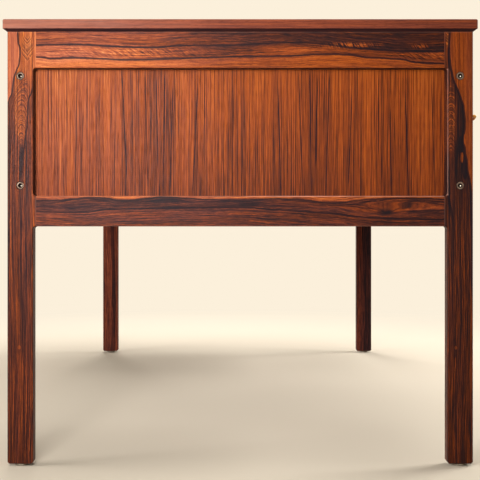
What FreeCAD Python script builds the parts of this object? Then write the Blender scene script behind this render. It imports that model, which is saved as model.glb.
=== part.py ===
import FreeCAD, Part
import math
import os
from FreeCAD import Vector

# A free-standing writing desk: a thin lipped top, two bolted end frames and a case hung between them.
# X runs along the desk, Y from the front (minus) to the back, Z up from the floor, in millimetres.
# The origin is on the floor under the middle of the top.

# Overall sizes
DESK_HEIGHT = 730.0
TOP_LENGTH = 1500.0
TOP_DEPTH = 775.0
TOP_THICKNESS = 20.0
TOP_OVERHANG = 7.0

# Edge of the top
LIPPING_WIDTH = 14.0
UNDER_BEVEL_HEIGHT = 5.0
UNDER_BEVEL_RUN = 7.0
TOP_ARRIS = 2.0
TOP_CORNER_RADIUS = 4.0

# End frames: JOINT_RADIUS is the hollow where a rail meets a leg, cut on the leg's shoulder
LEG_WIDTH = 42.0
LEG_THICKNESS = 27.0
JOINT_RADIUS = 5.0
UPPER_RAIL_HEIGHT = 59.0
LOWER_RAIL_HEIGHT = 50.0
OPENING_HEIGHT = 209.0
FRAME_ARRIS = 2.0
FOOT_BEVEL = 3.0
TENON_THICKNESS = 9.0
TENON_LENGTH = 30.0
TENON_SHOULDER = 8.0

# Glides nailed under the legs
GLIDE_HEIGHT = 4.0
GLIDE_DIAMETER = 21.0
GLIDE_BEVEL = 1.2
GLIDE_NAIL_DIAMETER = 4.0
GLIDE_NAIL_LENGTH = 14.0
GLIDE_NAIL_CLEARANCE = 0.05

# Socket head bolts through the legs, and their threaded inserts in the case
BOLT_DIAMETER = 8.0
BOLT_HEAD_DIAMETER = 13.0
BOLT_HEAD_HEIGHT = 8.0
BOLT_HEAD_BEVEL = 0.8
BOLT_HEAD_SINK = 0.5
BOLT_SOCKET_ACROSS_FLATS = 6.0
BOLT_SOCKET_DEPTH = 4.0
BOLT_SOCKET_POINT = 1.0
BOLT_BELOW_UPPER_RAIL = 13.0
BOLT_ABOVE_LOWER_RAIL = 17.0
BOLT_CLEARANCE = 0.2
INSERT_DIAMETER = 12.0
INSERT_LENGTH = 13.0
THREAD_CLEARANCE = 0.05

# Case
CASE_SETBACK = 6.5
CASE_LIFT = 6.0
CASE_ARRIS = 1.0
BOARD_THICKNESS = 18.0
PEDESTAL_WIDTH = 420.0
BACK_THICKNESS = 16.0
CASE_RAIL_WIDTH = 60.0
APRON_HEIGHT = 55.0
TONGUE_THICKNESS = 8.0
TONGUE_LENGTH = 6.0
TONGUE_STOP = 16.0

# Screws up through the case rails into the top
SCREW_DIAMETER = 4.0
SCREW_LENGTH = 30.0
SCREW_HEAD_DIAMETER = 8.0
SCREW_HEAD_HEIGHT = 2.5
SCREW_INSET = 60.0
SCREW_CLEARANCE = 0.05

# Door and drawer fronts, inset flush with the case
FRONT_THICKNESS = 20.0
FRONT_GAP = 2.0
FRONT_ARRIS = 1.2

# Butt hinges of the door
HINGE_HEIGHT = 50.0
HINGE_INSET = 36.0
HINGE_LEAF_WIDTH = 16.0
HINGE_LEAF_THICKNESS = 1.0
HINGE_LEAF_GAP = 0.4
HINGE_KNUCKLE_COUNT = 5
HINGE_KNUCKLE_DIAMETER = 6.0
HINGE_KNUCKLE_GAP = 0.3
HINGE_PIN_DIAMETER = 3.0
HINGE_PIN_CLEARANCE = 0.05
HINGE_PIN_HEAD_HEIGHT = 2.0
HINGE_PIN_HEAD_BEVEL = 1.2

# Door lock: a case let into the back of the door, with a bolt that shoots into the outer side
LOCK_BELOW_DOOR_TOP = 116.0
LOCK_BACKSET = 18.0
LOCK_CASE_WIDTH = 34.0
LOCK_CASE_THICKNESS = 12.0
LOCK_CASE_ABOVE_KEY = 30.0
LOCK_CASE_BELOW_KEY = 20.0
LOCK_FACE_THICKNESS = 1.6
LOCK_FACE_MARGIN = 8.0
LOCK_BOLT_ABOVE_KEY = 8.0
LOCK_BOLT_HEIGHT = 12.0
LOCK_BOLT_THICKNESS = 6.0
LOCK_BOLT_LENGTH = 22.0
LOCK_BOLT_THROW = 7.0
LOCK_BOLT_CLEARANCE = 0.3
STRIKE_THICKNESS = 1.2
STRIKE_MARGIN = 7.0
STRIKE_SIDE_MARGIN = 3.0
ESCUTCHEON_DIAMETER = 15.0
ESCUTCHEON_SINK = 1.0
ESCUTCHEON_STAND = 0.8

# Key
KEY_REACH = 24.0
KEY_STEM_DIAMETER = 5.0
KEY_STEM_DEPTH = 16.0
KEY_COLLAR_DIAMETER = 7.0
KEY_COLLAR_LENGTH = 2.5
KEY_BOW_LENGTH = 16.0
KEY_BOW_WIDTH = 22.0
KEY_BOW_RIM = 3.4
KEY_BOW_THICKNESS = 3.4
KEY_BOW_BEVEL = 0.8
KEY_CLEARANCE = 0.05
KEY_HOLE_CLEARANCE = 0.5
KEY_TURN_FROM_UPRIGHT = 75.0

# Shelf in the cupboard and its pins
SHELF_THICKNESS = 16.0
SHELF_ABOVE_BOTTOM = 120.0
SHELF_SETBACK = 14.0
SHELF_END_CLEARANCE = 0.5
SHELF_PIN_DIAMETER = 6.0
SHELF_PIN_SEAT = 1.0
SHELF_PIN_STAND = 9.0
SHELF_PIN_DEPTH = 10.0
SHELF_PIN_INSET = 60.0
SHELF_PIN_CLEARANCE = 0.05

# Drawers, listed from the top down
DRAWER_HEIGHT_SHARES = (0.29, 0.33, 0.38)
DRAWER_SPACE_BEHIND = 92.0
DRAWER_SIDE_THICKNESS = 12.0
DRAWER_SIDE_DROP = 10.0
DRAWER_SIDE_RISE = 4.0
DRAWER_BACK_THICKNESS = 12.0
DRAWER_BACK_INSET = 12.0
DRAWER_BACK_DROP = 6.0
DRAWER_BACK_HOUSING = 4.0
DRAWER_BOTTOM_THICKNESS = 5.0
DRAWER_BOTTOM_RISE = 7.0
DRAWER_BOTTOM_HOUSING = 5.0
DOVETAIL_COUNT = 3
DOVETAIL_LENGTH = 14.0
DOVETAIL_SPREAD = 2.0
DOVETAIL_WIDTH_SHARE = 0.6
PULL_WIDTH = 112.0
PULL_DEPTH = 18.0
PULL_SHOULDER_RADIUS = 9.0

# Runners in grooves along the drawer sides
RUNNER_HEIGHT = 12.0
RUNNER_DEPTH = 8.0
RUNNER_SETBACK = 40.0
RUNNER_CLEARANCE = 0.3
RUNNER_STOP_GAP = 0.3
RUNNER_LEAD = 3.0

# How far a cutting tool runs past the face it cuts, and how close two places are to count as one
OVERRUN = 1.0
SAME_PLANE = 0.01

# Places worked out from the sizes above
TOP_UNDERSIDE = DESK_HEIGHT - TOP_THICKNESS
FRAME_OUTER_X = TOP_LENGTH / 2 - TOP_OVERHANG
FRAME_INNER_X = FRAME_OUTER_X - LEG_THICKNESS
FRAME_OUTER_Y = TOP_DEPTH / 2 - TOP_OVERHANG
LEG_INNER_Y = FRAME_OUTER_Y - LEG_WIDTH
JOINT_Y = LEG_INNER_Y - JOINT_RADIUS
UPPER_RAIL_UNDERSIDE = TOP_UNDERSIDE - UPPER_RAIL_HEIGHT
LOWER_RAIL_TOP = UPPER_RAIL_UNDERSIDE - OPENING_HEIGHT
LOWER_RAIL_UNDERSIDE = LOWER_RAIL_TOP - LOWER_RAIL_HEIGHT
BOLT_Y = FRAME_OUTER_Y - LEG_WIDTH / 2
BOLT_LEVELS = (UPPER_RAIL_UNDERSIDE - BOLT_BELOW_UPPER_RAIL, LOWER_RAIL_TOP + BOLT_ABOVE_LOWER_RAIL)

CASE_FRONT = CASE_SETBACK - FRAME_OUTER_Y
CASE_BACK = FRAME_OUTER_Y - CASE_SETBACK
BACK_FACE = CASE_BACK - BACK_THICKNESS
CASE_UNDERSIDE = LOWER_RAIL_UNDERSIDE + CASE_LIFT
CASE_FLOOR = CASE_UNDERSIDE + BOARD_THICKNESS
CASE_RAIL_UNDERSIDE = TOP_UNDERSIDE - BOARD_THICKNESS
FRONT_RAIL_BACK = CASE_FRONT + CASE_RAIL_WIDTH
REAR_RAIL_FRONT = BACK_FACE - CASE_RAIL_WIDTH
OUTER_SIDE_FACE = FRAME_INNER_X - BOARD_THICKNESS
KNEEHOLE_HALF = FRAME_INNER_X - PEDESTAL_WIDTH
INNER_SIDE_FACE = KNEEHOLE_HALF + BOARD_THICKNESS

FRONT_BACK = CASE_FRONT + FRONT_THICKNESS
FRONT_LOW = CASE_FLOOR + FRONT_GAP
FRONT_HIGH = CASE_RAIL_UNDERSIDE - FRONT_GAP
HINGE_GAP = 2 * HINGE_LEAF_THICKNESS + HINGE_LEAF_GAP
DOOR_EDGE = FRONT_GAP - OUTER_SIDE_FACE
DOOR_HINGE_EDGE = -INNER_SIDE_FACE - HINGE_GAP
KNUCKLE_RADIUS = HINGE_KNUCKLE_DIAMETER / 2
HINGE_X = -INNER_SIDE_FACE - HINGE_GAP / 2
HINGE_Y = CASE_FRONT - KNUCKLE_RADIUS - HINGE_KNUCKLE_GAP
HINGE_LEVELS = (FRONT_LOW + HINGE_INSET, FRONT_HIGH - HINGE_INSET - HINGE_HEIGHT)
KEY_X = DOOR_EDGE + LOCK_BACKSET
KEY_Z = FRONT_HIGH - LOCK_BELOW_DOOR_TOP
LOCK_CASE_Y = FRONT_BACK - LOCK_CASE_THICKNESS
LOCK_BOLT_Y = FRONT_BACK - LOCK_CASE_THICKNESS / 2
LOCK_BOLT_LOW = KEY_Z + LOCK_BOLT_ABOVE_KEY
LOCK_BOLT_HIGH = LOCK_BOLT_LOW + LOCK_BOLT_HEIGHT
SHELF_UNDERSIDE = CASE_FLOOR + SHELF_ABOVE_BOTTOM
SHELF_FRONT = FRONT_BACK + SHELF_SETBACK
DRAWER_SPAN = FRONT_HIGH - FRONT_LOW - (len(DRAWER_HEIGHT_SHARES) - 1) * FRONT_GAP
DRAWER_LEFT = INNER_SIDE_FACE + FRONT_GAP
DRAWER_RIGHT = OUTER_SIDE_FACE - FRONT_GAP
DRAWER_REAR = BACK_FACE - DRAWER_SPACE_BEHIND
RUNNER_REAR = DRAWER_REAR - RUNNER_SETBACK

ALONG_X = Vector(1, 0, 0)
ALONG_Y = Vector(0, 1, 0)
ALONG_Z = Vector(0, 0, 1)
ORIGIN = Vector(0, 0, 0)
QUARTER_TURN = 90.0
HEXAGON_SIDES = 6


def box(x0, x1, y0, y1, z0, z1):
    """A block between two corners."""
    return Part.makeBox(x1 - x0, y1 - y0, z1 - z0, Vector(x0, y0, z0))


def rod(diameter, length, x, y, z, axis):
    """A round bar that starts at a point and runs along an axis."""
    return Part.makeCylinder(diameter / 2, length, Vector(x, y, z), axis)


def prism(points, run):
    """A flat outline with straight sides, drawn out along a vector."""
    return Part.Face(Part.makePolygon(points + points[:1])).extrude(run)


def mirrored(shape):
    """The same piece at the other end of the desk."""
    return shape.mirror(ORIGIN, ALONG_X)


def join(first, *others):
    """Several touching shapes as one clean solid."""
    return first.multiFuse(list(others)).removeSplitter()


def edges_on_face_y(shape, y):
    """The edges that lie in the plane at one depth."""
    return [e for e in shape.Edges if max(abs(e.BoundBox.YMin - y), abs(e.BoundBox.YMax - y)) < SAME_PLANE]


# Top

def rounded_outline(inset, z):
    """The outline of the top with rounded corners, drawn in from the edge at one level."""
    half_x = TOP_LENGTH / 2 - inset
    half_y = TOP_DEPTH / 2 - inset
    slab = box(-half_x, half_x, -half_y, half_y, z, z + TOP_THICKNESS)
    upright = [e for e in slab.Edges if e.BoundBox.ZLength > TOP_THICKNESS / 2]
    rounded = slab.makeFillet(TOP_CORNER_RADIUS, upright)
    return min(rounded.Faces, key=lambda face: face.CenterOfMass.z).OuterWire


def make_slab():
    """The whole top: a bevel underneath, an upright edge and a rounded upper arris."""
    edge_level = TOP_UNDERSIDE + UNDER_BEVEL_HEIGHT
    outlines = [rounded_outline(UNDER_BEVEL_RUN, TOP_UNDERSIDE), rounded_outline(0, edge_level)]
    bevel = Part.makeLoft(outlines, True, True)
    upper = Part.Face(rounded_outline(0, edge_level)).extrude(ALONG_Z * (TOP_THICKNESS - UNDER_BEVEL_HEIGHT))
    rim = [e for e in upper.Edges if e.BoundBox.ZMin > DESK_HEIGHT - TOP_ARRIS]
    return bevel.fuse(upper.makeFillet(TOP_ARRIS, rim))


def mitre_prism(sign_x, sign_y):
    """The space of one lipping between its two mitres; one of the signs is zero."""
    half_x = TOP_LENGTH / 2
    half_y = TOP_DEPTH / 2
    core_x = half_x - LIPPING_WIDTH
    core_y = half_y - LIPPING_WIDTH
    if sign_x == 0:
        corners = [(-half_x, half_y), (half_x, half_y), (core_x, core_y), (-core_x, core_y)]
        places = [Vector(x, sign_y * y, TOP_UNDERSIDE) for x, y in corners]
    else:
        corners = [(half_x, -half_y), (half_x, half_y), (core_x, core_y), (core_x, -core_y)]
        places = [Vector(sign_x * x, y, TOP_UNDERSIDE) for x, y in corners]
    return prism(places, ALONG_Z * TOP_THICKNESS)


def make_top():
    """The veneered panel and its four mitred lippings."""
    slab = make_slab()
    core_x = TOP_LENGTH / 2 - LIPPING_WIDTH
    core_y = TOP_DEPTH / 2 - LIPPING_WIDTH
    panel = box(-core_x, core_x, -core_y, core_y, TOP_UNDERSIDE, DESK_HEIGHT)
    nodes = {"top_panel": panel.cut(Part.makeCompound(make_top_screws(SCREW_CLEARANCE)))}
    sides = {"left": (-1, 0), "right": (1, 0), "front": (0, -1), "back": (0, 1)}
    for name, (sign_x, sign_y) in sides.items():
        nodes["top_lipping_" + name] = slab.common(mitre_prism(sign_x, sign_y)).removeSplitter()
    return nodes


# End frames

def hollow(y, z, sign_y, sign_z):
    """The corner piece between a rail edge and a leg edge, with its hollow quarter circle."""
    centre_y = y - sign_y * JOINT_RADIUS
    centre_z = z + sign_z * JOINT_RADIUS
    low_y, high_y = sorted((y, centre_y))
    low_z, high_z = sorted((z, centre_z))
    block = box(-FRAME_OUTER_X, -FRAME_INNER_X, low_y, high_y, low_z, high_z)
    return block.cut(rod(2 * JOINT_RADIUS, LEG_THICKNESS, -FRAME_OUTER_X, centre_y, centre_z, ALONG_X))


def leg_blank(sign_y):
    """One straight leg with bevelled foot corners."""
    outer = sign_y * FRAME_OUTER_Y
    inner = sign_y * LEG_INNER_Y
    bevel = sign_y * FOOT_BEVEL
    outline = [
        (outer, TOP_UNDERSIDE),
        (inner, TOP_UNDERSIDE),
        (inner, GLIDE_HEIGHT + FOOT_BEVEL),
        (inner + bevel, GLIDE_HEIGHT),
        (outer - bevel, GLIDE_HEIGHT),
        (outer, GLIDE_HEIGHT + FOOT_BEVEL),
    ]
    places = [Vector(-FRAME_OUTER_X, y, z) for y, z in outline]
    return prism(places, ALONG_X * LEG_THICKNESS)


def in_opening(edge):
    """True for an edge round the frame's opening, between the rails."""
    bounds = edge.BoundBox
    inside_y = max(abs(bounds.YMin), abs(bounds.YMax)) < LEG_INNER_Y + OVERRUN
    return inside_y and bounds.ZMin > LOWER_RAIL_TOP - OVERRUN and bounds.ZMax < UPPER_RAIL_UNDERSIDE + OVERRUN


def make_frame_blank():
    """The whole left end frame in one piece, with its edges eased."""
    pieces = [leg_blank(1)]
    for low, high in ((UPPER_RAIL_UNDERSIDE, TOP_UNDERSIDE), (LOWER_RAIL_UNDERSIDE, LOWER_RAIL_TOP)):
        pieces.append(box(-FRAME_OUTER_X, -FRAME_INNER_X, -LEG_INNER_Y, LEG_INNER_Y, low, high))
    for sign_y in (-1, 1):
        pieces.append(hollow(sign_y * LEG_INNER_Y, UPPER_RAIL_UNDERSIDE, sign_y, -1))
        pieces.append(hollow(sign_y * LEG_INNER_Y, LOWER_RAIL_TOP, sign_y, 1))
        pieces.append(hollow(sign_y * LEG_INNER_Y, LOWER_RAIL_UNDERSIDE, sign_y, -1))
    blank = join(leg_blank(-1), *pieces)
    eased = []
    for edge in blank.Edges:
        bounds = edge.BoundBox
        flat = bounds.XLength < OVERRUN
        outside = bounds.XMax < -FRAME_INNER_X - LEG_THICKNESS / 2
        at_top = bounds.ZMin > TOP_UNDERSIDE - OVERRUN
        if flat and not at_top and (outside or not in_opening(edge)):
            eased.append(edge)
    return blank.makeFillet(FRAME_ARRIS, eased)


def tenon(sign_y, low, high):
    """The tenon at one end of a rail, which also cuts its mortise."""
    middle_x = -(FRAME_OUTER_X + FRAME_INNER_X) / 2
    low_y, high_y = sorted((sign_y * JOINT_Y, sign_y * (JOINT_Y + TENON_LENGTH)))
    half = TENON_THICKNESS / 2
    return box(middle_x - half, middle_x + half, low_y, high_y, low + TENON_SHOULDER, high - TENON_SHOULDER)


def bolt_places():
    """Depth and level of the four bolts in one end frame."""
    return [(y, z) for y in (-BOLT_Y, BOLT_Y) for z in BOLT_LEVELS]


def bolt_holes():
    """Stepped holes for the left frame's bolts, through the legs only."""
    holes = []
    head_depth = BOLT_HEAD_HEIGHT + BOLT_HEAD_SINK
    for y, z in bolt_places():
        start = -FRAME_OUTER_X - OVERRUN
        holes.append(rod(BOLT_DIAMETER + 2 * BOLT_CLEARANCE, LEG_THICKNESS + 2 * OVERRUN, start, y, z, ALONG_X))
        holes.append(rod(BOLT_HEAD_DIAMETER + 2 * BOLT_CLEARANCE, head_depth + OVERRUN, start, y, z, ALONG_X))
    return Part.makeCompound(holes)


def make_left_frame():
    """Two legs and two rails, cut from the eased frame at the joint lines."""
    blank = make_frame_blank()
    nail = GLIDE_NAIL_DIAMETER + 2 * GLIDE_NAIL_CLEARANCE
    rails = {
        "upper_rail": (UPPER_RAIL_UNDERSIDE, TOP_UNDERSIDE),
        "lower_rail": (LOWER_RAIL_UNDERSIDE, LOWER_RAIL_TOP),
    }
    frame = {}
    for name, (low, high) in rails.items():
        span = box(-FRAME_OUTER_X, -FRAME_INNER_X, -JOINT_Y, JOINT_Y, low, high)
        frame[name] = join(blank.common(span), tenon(-1, low, high), tenon(1, low, high))
    for name, sign_y in (("front_leg", -1), ("back_leg", 1)):
        low_y, high_y = sorted((sign_y * JOINT_Y, sign_y * FRAME_OUTER_Y))
        leg = blank.common(box(-FRAME_OUTER_X, -FRAME_INNER_X, low_y, high_y, GLIDE_HEIGHT, TOP_UNDERSIDE))
        for low, high in rails.values():
            leg = leg.cut(tenon(sign_y, low, high))
        x, y = glide_place(-1, sign_y)
        leg = leg.cut(rod(nail, GLIDE_NAIL_LENGTH + GLIDE_NAIL_CLEARANCE, x, y, GLIDE_HEIGHT, ALONG_Z))
        frame[name] = leg.cut(bolt_holes())
    return frame


def glide_place(sign_x, sign_y):
    """The middle of a leg in plan."""
    return sign_x * (FRAME_OUTER_X + FRAME_INNER_X) / 2, sign_y * (FRAME_OUTER_Y + LEG_INNER_Y) / 2


def make_glides():
    """Four round glides with their nails."""
    glides = []
    for sign_x in (-1, 1):
        for sign_y in (-1, 1):
            x, y = glide_place(sign_x, sign_y)
            disc = rod(GLIDE_DIAMETER, GLIDE_HEIGHT, x, y, 0, ALONG_Z)
            lower_rim = [e for e in disc.Edges if e.BoundBox.ZMax < GLIDE_HEIGHT / 2]
            disc = disc.makeChamfer(GLIDE_BEVEL, lower_rim)
            glides.append(join(disc, rod(GLIDE_NAIL_DIAMETER, GLIDE_NAIL_LENGTH, x, y, GLIDE_HEIGHT, ALONG_Z)))
    return Part.makeCompound(glides)


def make_bolt(y, z):
    """One socket head bolt of the left frame, sunk under the leg's face, its socket drilled to a point."""
    face = BOLT_HEAD_SINK - FRAME_OUTER_X
    shank = LEG_THICKNESS - BOLT_HEAD_SINK + INSERT_LENGTH - THREAD_CLEARANCE
    head = rod(BOLT_HEAD_DIAMETER, BOLT_HEAD_HEIGHT, face, y, z, ALONG_X)
    rim = [e for e in head.Edges if e.BoundBox.XMax < face + BOLT_HEAD_HEIGHT / 2]
    head = head.makeChamfer(BOLT_HEAD_BEVEL, rim)
    corner = BOLT_SOCKET_ACROSS_FLATS / math.sqrt(3)
    turns = [step * 2 * math.pi / HEXAGON_SIDES for step in range(HEXAGON_SIDES)]
    hexagon = [Vector(face, y + corner * math.cos(turn), z + corner * math.sin(turn)) for turn in turns]
    body = join(head, rod(BOLT_DIAMETER, shank, face, y, z, ALONG_X))
    foot = Vector(face + BOLT_SOCKET_DEPTH, y, z)
    point = Part.makeCone(BOLT_SOCKET_ACROSS_FLATS / 2, 0, BOLT_SOCKET_POINT, foot, ALONG_X)
    return body.cut(prism(hexagon, ALONG_X * BOLT_SOCKET_DEPTH)).cut(point)


def make_insert(y, z, clearance):
    """One threaded insert of the left outer side; with no thread hole it also cuts its seat."""
    grown = INSERT_DIAMETER + 2 * clearance
    return rod(grown, INSERT_LENGTH, -FRAME_INNER_X, y, z, ALONG_X)


def make_bolts_and_inserts():
    """The eight bolts and the eight inserts that they screw into."""
    thread = BOLT_DIAMETER + 2 * THREAD_CLEARANCE
    bolts = []
    inserts = []
    for y, z in bolt_places():
        bolt = make_bolt(y, z)
        insert = make_insert(y, z, 0).cut(rod(thread, INSERT_LENGTH, -FRAME_INNER_X, y, z, ALONG_X))
        bolts += [bolt, mirrored(bolt)]
        inserts += [insert, mirrored(insert)]
    return {"frame_bolts": Part.makeCompound(bolts), "bolt_inserts": Part.makeCompound(inserts)}


# Case

def tongued_board(y0, y1, z0, z1, x0=-OUTER_SIDE_FACE, x1=-INNER_SIDE_FACE):
    """A level board between two sides, with a tongue at each end that stops short of the front edge."""
    middle = (z0 + z1) / 2
    half = TONGUE_THICKNESS / 2
    tongue = box(x0 - TONGUE_LENGTH, x1 + TONGUE_LENGTH, y0 + TONGUE_STOP, y1, middle - half, middle + half)
    return join(box(x0, x1, y0, y1, z0, z1), tongue)


def make_left_boards():
    """The left pedestal's level boards: bottom, front top rail and rear top rail."""
    return {
        "bottom": tongued_board(CASE_FRONT, BACK_FACE, CASE_UNDERSIDE, CASE_FLOOR),
        "front_rail": tongued_board(CASE_FRONT, FRONT_RAIL_BACK, CASE_RAIL_UNDERSIDE, TOP_UNDERSIDE),
        "rear_rail": tongued_board(REAR_RAIL_FRONT, BACK_FACE, CASE_RAIL_UNDERSIDE, TOP_UNDERSIDE),
    }


def make_apron():
    """The board across the front of the kneehole, tongued into the inner sides."""
    low = TOP_UNDERSIDE - APRON_HEIGHT
    middle_y = CASE_FRONT + BOARD_THICKNESS / 2
    half = TONGUE_THICKNESS / 2
    reach = KNEEHOLE_HALF + TONGUE_LENGTH
    tongue = box(-reach, reach, middle_y - half, middle_y + half, low + TONGUE_STOP, TOP_UNDERSIDE)
    board = box(-KNEEHOLE_HALF, KNEEHOLE_HALF, CASE_FRONT, CASE_FRONT + BOARD_THICKNESS, low, TOP_UNDERSIDE)
    lower_front = [e for e in edges_on_face_y(board, CASE_FRONT) if e.BoundBox.ZMax < low + OVERRUN]
    return join(board.makeFillet(CASE_ARRIS, lower_front), tongue)


def eased_board(x0, x1, y1):
    """An upright side with its two front edges eased."""
    board = box(x0, x1, CASE_FRONT, y1, CASE_UNDERSIDE, TOP_UNDERSIDE)
    upright = [e for e in edges_on_face_y(board, CASE_FRONT) if e.BoundBox.XLength < BOARD_THICKNESS / 2]
    return board.makeFillet(CASE_ARRIS, upright)


def make_case():
    """Sides, bottoms, rails, apron and back."""
    boards = make_left_boards()
    apron = make_apron()
    outer = eased_board(-FRAME_INNER_X, -OUTER_SIDE_FACE, CASE_BACK)
    inner = eased_board(-INNER_SIDE_FACE, -KNEEHOLE_HALF, BACK_FACE).cut(apron)
    for board in boards.values():
        outer = outer.cut(board)
        inner = inner.cut(board)
    for y, z in bolt_places():
        outer = outer.cut(make_insert(y, z, THREAD_CLEARANCE))
    screw_holes = Part.makeCompound(make_top_screws(SCREW_CLEARANCE))
    back = box(-OUTER_SIDE_FACE, OUTER_SIDE_FACE, BACK_FACE, CASE_BACK, CASE_UNDERSIDE, TOP_UNDERSIDE)
    nodes = {
        "left_outer_side": outer.cut(strike_space()).cut(shelf_pin_holes()),
        "left_inner_side": inner.cut(shelf_pin_holes()),
        "right_outer_side": mirrored(outer),
        "right_inner_side": mirrored(inner),
        "kneehole_apron": apron,
        "back_panel": back,
    }
    for name, board in boards.items():
        nodes["left_" + name] = board.cut(screw_holes)
        nodes["right_" + name] = mirrored(board).cut(screw_holes)
    return nodes


def make_top_screws(clearance):
    """Two countersunk screws in each case rail, up into the top; with a clearance they cut their holes."""
    screws = []
    rail_middles = ((CASE_FRONT + FRONT_RAIL_BACK) / 2, (REAR_RAIL_FRONT + BACK_FACE) / 2)
    head = SCREW_HEAD_DIAMETER / 2 + clearance
    shank = SCREW_DIAMETER / 2 + clearance
    for x in (INNER_SIDE_FACE + SCREW_INSET, OUTER_SIDE_FACE - SCREW_INSET):
        for y in rail_middles:
            for place_x in (-x, x):
                foot = Vector(place_x, y, CASE_RAIL_UNDERSIDE)
                cone = Part.makeCone(head, shank, SCREW_HEAD_HEIGHT, foot)
                screws.append(join(cone, Part.makeCylinder(shank, SCREW_LENGTH + clearance, foot)))
    return screws


# Cupboard in the left pedestal

def strike_space():
    """The shallow seat of the strike plate and the deeper hole for the bolt behind it."""
    deep = -OUTER_SIDE_FACE - LOCK_BOLT_THROW - LOCK_BOLT_CLEARANCE
    return join(strike_block(), bolt_space(deep, -OUTER_SIDE_FACE))


def bolt_space(x0, x1):
    """The space that the lock bolt runs in, between two places along the desk."""
    half = LOCK_BOLT_THICKNESS / 2 + LOCK_BOLT_CLEARANCE
    low = LOCK_BOLT_LOW - LOCK_BOLT_CLEARANCE
    return box(x0, x1, LOCK_BOLT_Y - half, LOCK_BOLT_Y + half, low, LOCK_BOLT_HIGH + LOCK_BOLT_CLEARANCE)


def strike_block():
    """The strike plate before its bolt hole is cut."""
    half = LOCK_BOLT_THICKNESS / 2 + STRIKE_SIDE_MARGIN
    low = LOCK_BOLT_LOW - STRIKE_MARGIN
    high = LOCK_BOLT_HIGH + STRIKE_MARGIN
    deep = -OUTER_SIDE_FACE - STRIKE_THICKNESS
    return box(deep, -OUTER_SIDE_FACE, LOCK_BOLT_Y - half, LOCK_BOLT_Y + half, low, high)


def lock_block():
    """The lock case and its face plate at the edge of the door."""
    low = KEY_Z - LOCK_CASE_BELOW_KEY
    high = KEY_Z + LOCK_CASE_ABOVE_KEY
    case = box(DOOR_EDGE, DOOR_EDGE + LOCK_CASE_WIDTH, LOCK_CASE_Y, FRONT_BACK, low, high)
    plate_low = low - LOCK_FACE_MARGIN
    plate_high = high + LOCK_FACE_MARGIN
    plate = box(DOOR_EDGE, DOOR_EDGE + LOCK_FACE_THICKNESS, LOCK_CASE_Y, FRONT_BACK, plate_low, plate_high)
    return join(case, plate)


def keyhole(diameter):
    """A round hole on the key's axis, through the door and into the lock."""
    return rod(diameter, KEY_STEM_DEPTH + 2 * OVERRUN, KEY_X, CASE_FRONT - OVERRUN, KEY_Z, ALONG_Y)


def make_escutcheon():
    """The brass ring round the keyhole, let into the door."""
    length = ESCUTCHEON_SINK + ESCUTCHEON_STAND
    ring = rod(ESCUTCHEON_DIAMETER, length, KEY_X, CASE_FRONT - ESCUTCHEON_STAND, KEY_Z, ALONG_Y)
    front_rim = edges_on_face_y(ring, CASE_FRONT - ESCUTCHEON_STAND)
    return ring.makeChamfer(ESCUTCHEON_STAND / 2, front_rim)


def make_key():
    """A key with an oval ring bow, turned from upright as it stands in the lock."""
    tip = CASE_FRONT - KEY_REACH
    bow_y = tip + KEY_BOW_LENGTH / 2
    stem_start = tip + KEY_BOW_LENGTH - KEY_BOW_RIM / 2
    stem_end = CASE_FRONT + KEY_STEM_DEPTH
    centre = Vector(KEY_X, bow_y, KEY_Z - KEY_BOW_THICKNESS / 2)
    outline = Part.Ellipse(centre, KEY_BOW_WIDTH / 2, KEY_BOW_LENGTH / 2)
    eye = Part.Ellipse(centre, KEY_BOW_WIDTH / 2 - KEY_BOW_RIM, KEY_BOW_LENGTH / 2 - KEY_BOW_RIM)
    disc = Part.Face(Part.Wire(outline.toShape())).extrude(ALONG_Z * KEY_BOW_THICKNESS)
    bow = disc.cut(Part.Face(Part.Wire(eye.toShape())).extrude(ALONG_Z * KEY_BOW_THICKNESS))
    rims = [e for e in bow.Edges if e.BoundBox.ZLength < KEY_BOW_THICKNESS / 2]
    bow = bow.makeChamfer(KEY_BOW_BEVEL, rims)
    stem = rod(KEY_STEM_DIAMETER, stem_end - stem_start, KEY_X, stem_start, KEY_Z, ALONG_Y)
    collar = rod(KEY_COLLAR_DIAMETER, KEY_COLLAR_LENGTH, KEY_X, tip + KEY_BOW_LENGTH, KEY_Z, ALONG_Y)
    key = join(bow, stem, collar)
    key.rotate(Vector(KEY_X, 0, KEY_Z), ALONG_Y, QUARTER_TURN - KEY_TURN_FROM_UPRIGHT)
    return key


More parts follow.
